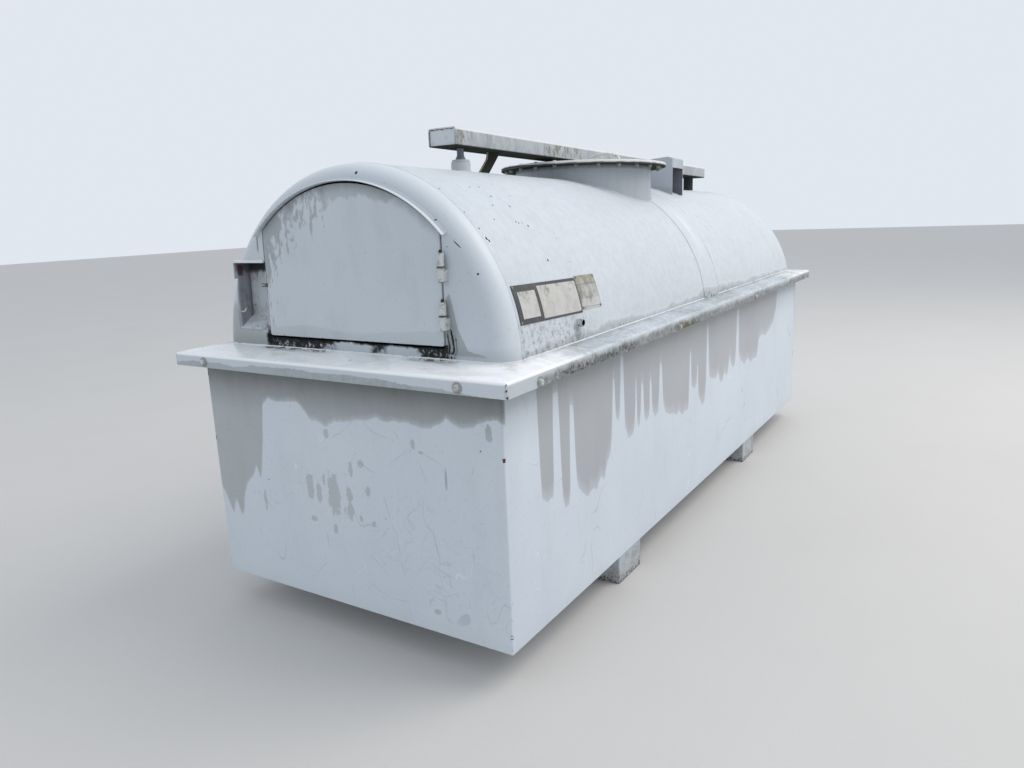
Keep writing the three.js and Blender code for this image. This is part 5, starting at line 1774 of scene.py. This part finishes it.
# the sealant's pale colour is partly a painted highlight along its beads
sealant = makeBeadPaint("sealant", (0.74, 0.77, 0.78), 0.2)
weldPaint = makeBeadPaint("weldPaint", (0.56, 0.6, 0.63), -0.1)
beadLift = 0.0005
stubRing = stub["radius"] + beadLift
corners = [(cowl["left"], cowl["front"]), (cowl["right"], cowl["front"]), (cowl["right"], cowl["rear"]),
           (cowl["left"], cowl["rear"])]
cowlFoot = []
for (x0, y0), (x1, y1) in zip(corners, corners[1:] + corners[:1]):
    for k in range(10):
        x = x0 + (x1 - x0) * k / 10
        cowlFoot.append((x, y0 + (y1 - y0) * k / 10, barrelHeight(x)))
stubFoot = []
for a, b in circle(32):
    z = stub["z"] + stubRing * b
    stubFoot.append((barrelHeight(z), stub["y"] + stubRing * a, z))
hoodLine = [(pocket["left"] + 0.004 + (pocket["right"] - pocket["left"] - 0.006) * k / 24,
             tank["frontFace"] - 0.001, pocket["top"] + 0.0008) for k in range(25)]
beadLabels = ("Radius", "Ripple", "Ripple Scale", "Spacing", "Seed")
# the line it follows, and the values that beadLabels names
beads = {
    "rimSealant": ([(x, y, coverHeight(x, y) + beadLift) for _, _, x, y in coverSpokes()],
                   0.0042, 0.0036, 55.0, 0.006, 4),
    "neckWeld": (ringAround(manhole["centre"], manhole["neck"] + 0.001, steps=manhole["steps"]),
                 0.005, 0.003, 90.0, 0.005, 1),
    "socketWeld": (ringAround((0, post["y"]), post["socket"] + 0.001), 0.0045, 0.0028, 120.0, 0.004, 6),
    "rearPostWeld": (ringAround((0, rearPost["y"]), rearPost["radius"] + 0.001), 0.0045, 0.0028, 120.0, 0.004, 7),
    "cowlWeld": (cowlFoot, 0.004, 0.003, 110.0, 0.005, 9),
    "hoodWeld": (hoodLine, 0.0052, 0.006, 85.0, 0.004, 12),
    "stubWeld": (stubFoot, 0.0032, 0.002, 160.0, 0.003, 3)}
for name, (line, *sizes) in beads.items():
    growPiece(name, lineShape(line, closed=name != "hoodWeld"), beadTree, dict(zip(beadLabels, sizes)),
              sealant if name in ("rimSealant", "hoodWeld") else weldPaint, inTank=name != "rimSealant")


def makeMoss():
    startCoat("mossGrowth", (0.085, 0.095, 0.035), 0.95, tilted=False)
    lay(cloud(60, 4), (0.13, 0.13, 0.05))
    lay(patches(160, 0.5, 0.65, 3, shift=(2, 3, 4)), (0.035, 0.04, 0.02))
    swell(cloud(900, 2), 0.0006)
    return sealCoat()


def sheetShape(halfX, halfY, y=0.0, z=0.0):
    bm = bmesh.new()
    bm.faces.new([bm.verts.new((a * halfX, y + b * halfY, z)) for a, b in ((-1, -1), (1, -1), (1, 1), (-1, 1))])
    return bm


mossPatch = {"halfWidth": 0.055, "halfDepth": 0.003, "back": 0.004, "sunk": 0.001}
mossBed = sheetShape(mossPatch["halfWidth"], mossPatch["halfDepth"], beam["front"] + mossPatch["back"],
                     beam["high"] - mossPatch["sunk"])
growPiece("beamMoss1", mossBed, mossTree, {"Density": 22000, "Tuft Size": 0.0016, "Seed": 11}, makeMoss())

# yard floor and light
print("floor and light")
studio = {"floor": (0.62, 0.61, 0.59), "sky": (0.835, 0.885, 0.96), "skyStrength": 0.905, "keyPower": 436,
          "floorHalf": 40, "keyPlace": (5.2, 2.5, 7.8), "keyAim": (0, 0, 0.7), "keyColour": (1.0, 0.94, 0.89),
          "keySize": 6.0}


def makeFloor():
    startCoat("floorConcrete", studio["floor"], 0.85, tilted=False)
    tint(cloud(1.2, 6), (0.93, 0.93, 0.93))
    swell(cloud(60, 5), 0.0008)
    mesh = meshOf("yardFloor", sheetShape(studio["floorHalf"], studio["floorHalf"]))
    mesh.materials.append(sealCoat())
    floor = newObject("yardFloor", mesh)


def lightRoom():
    world = bpy.data.worlds.new("paleSky")
    world.use_nodes = True
    sky = world.node_tree.nodes["Background"]
    sky.inputs["Color"].default_value = (*studio["sky"], 1)
    sky.inputs["Strength"].default_value = studio["skyStrength"]
    bpy.context.scene.world = world
    lamp = bpy.data.lights.new("softBox", "AREA")
    lamp.energy, lamp.color, lamp.size = studio["keyPower"], studio["keyColour"], studio["keySize"]
    softBox = newObject("softBox", lamp)
    softBox.location = studio["keyPlace"]
    softBox.rotation_euler = (Vector(studio["keyAim"]) - softBox.location).to_track_quat("-Z", "Y").to_euler()
    bpy.context.scene.view_settings.view_transform = "Standard"


makeFloor()
lightRoom()

bpy.context.view_layer.update()
print("done")
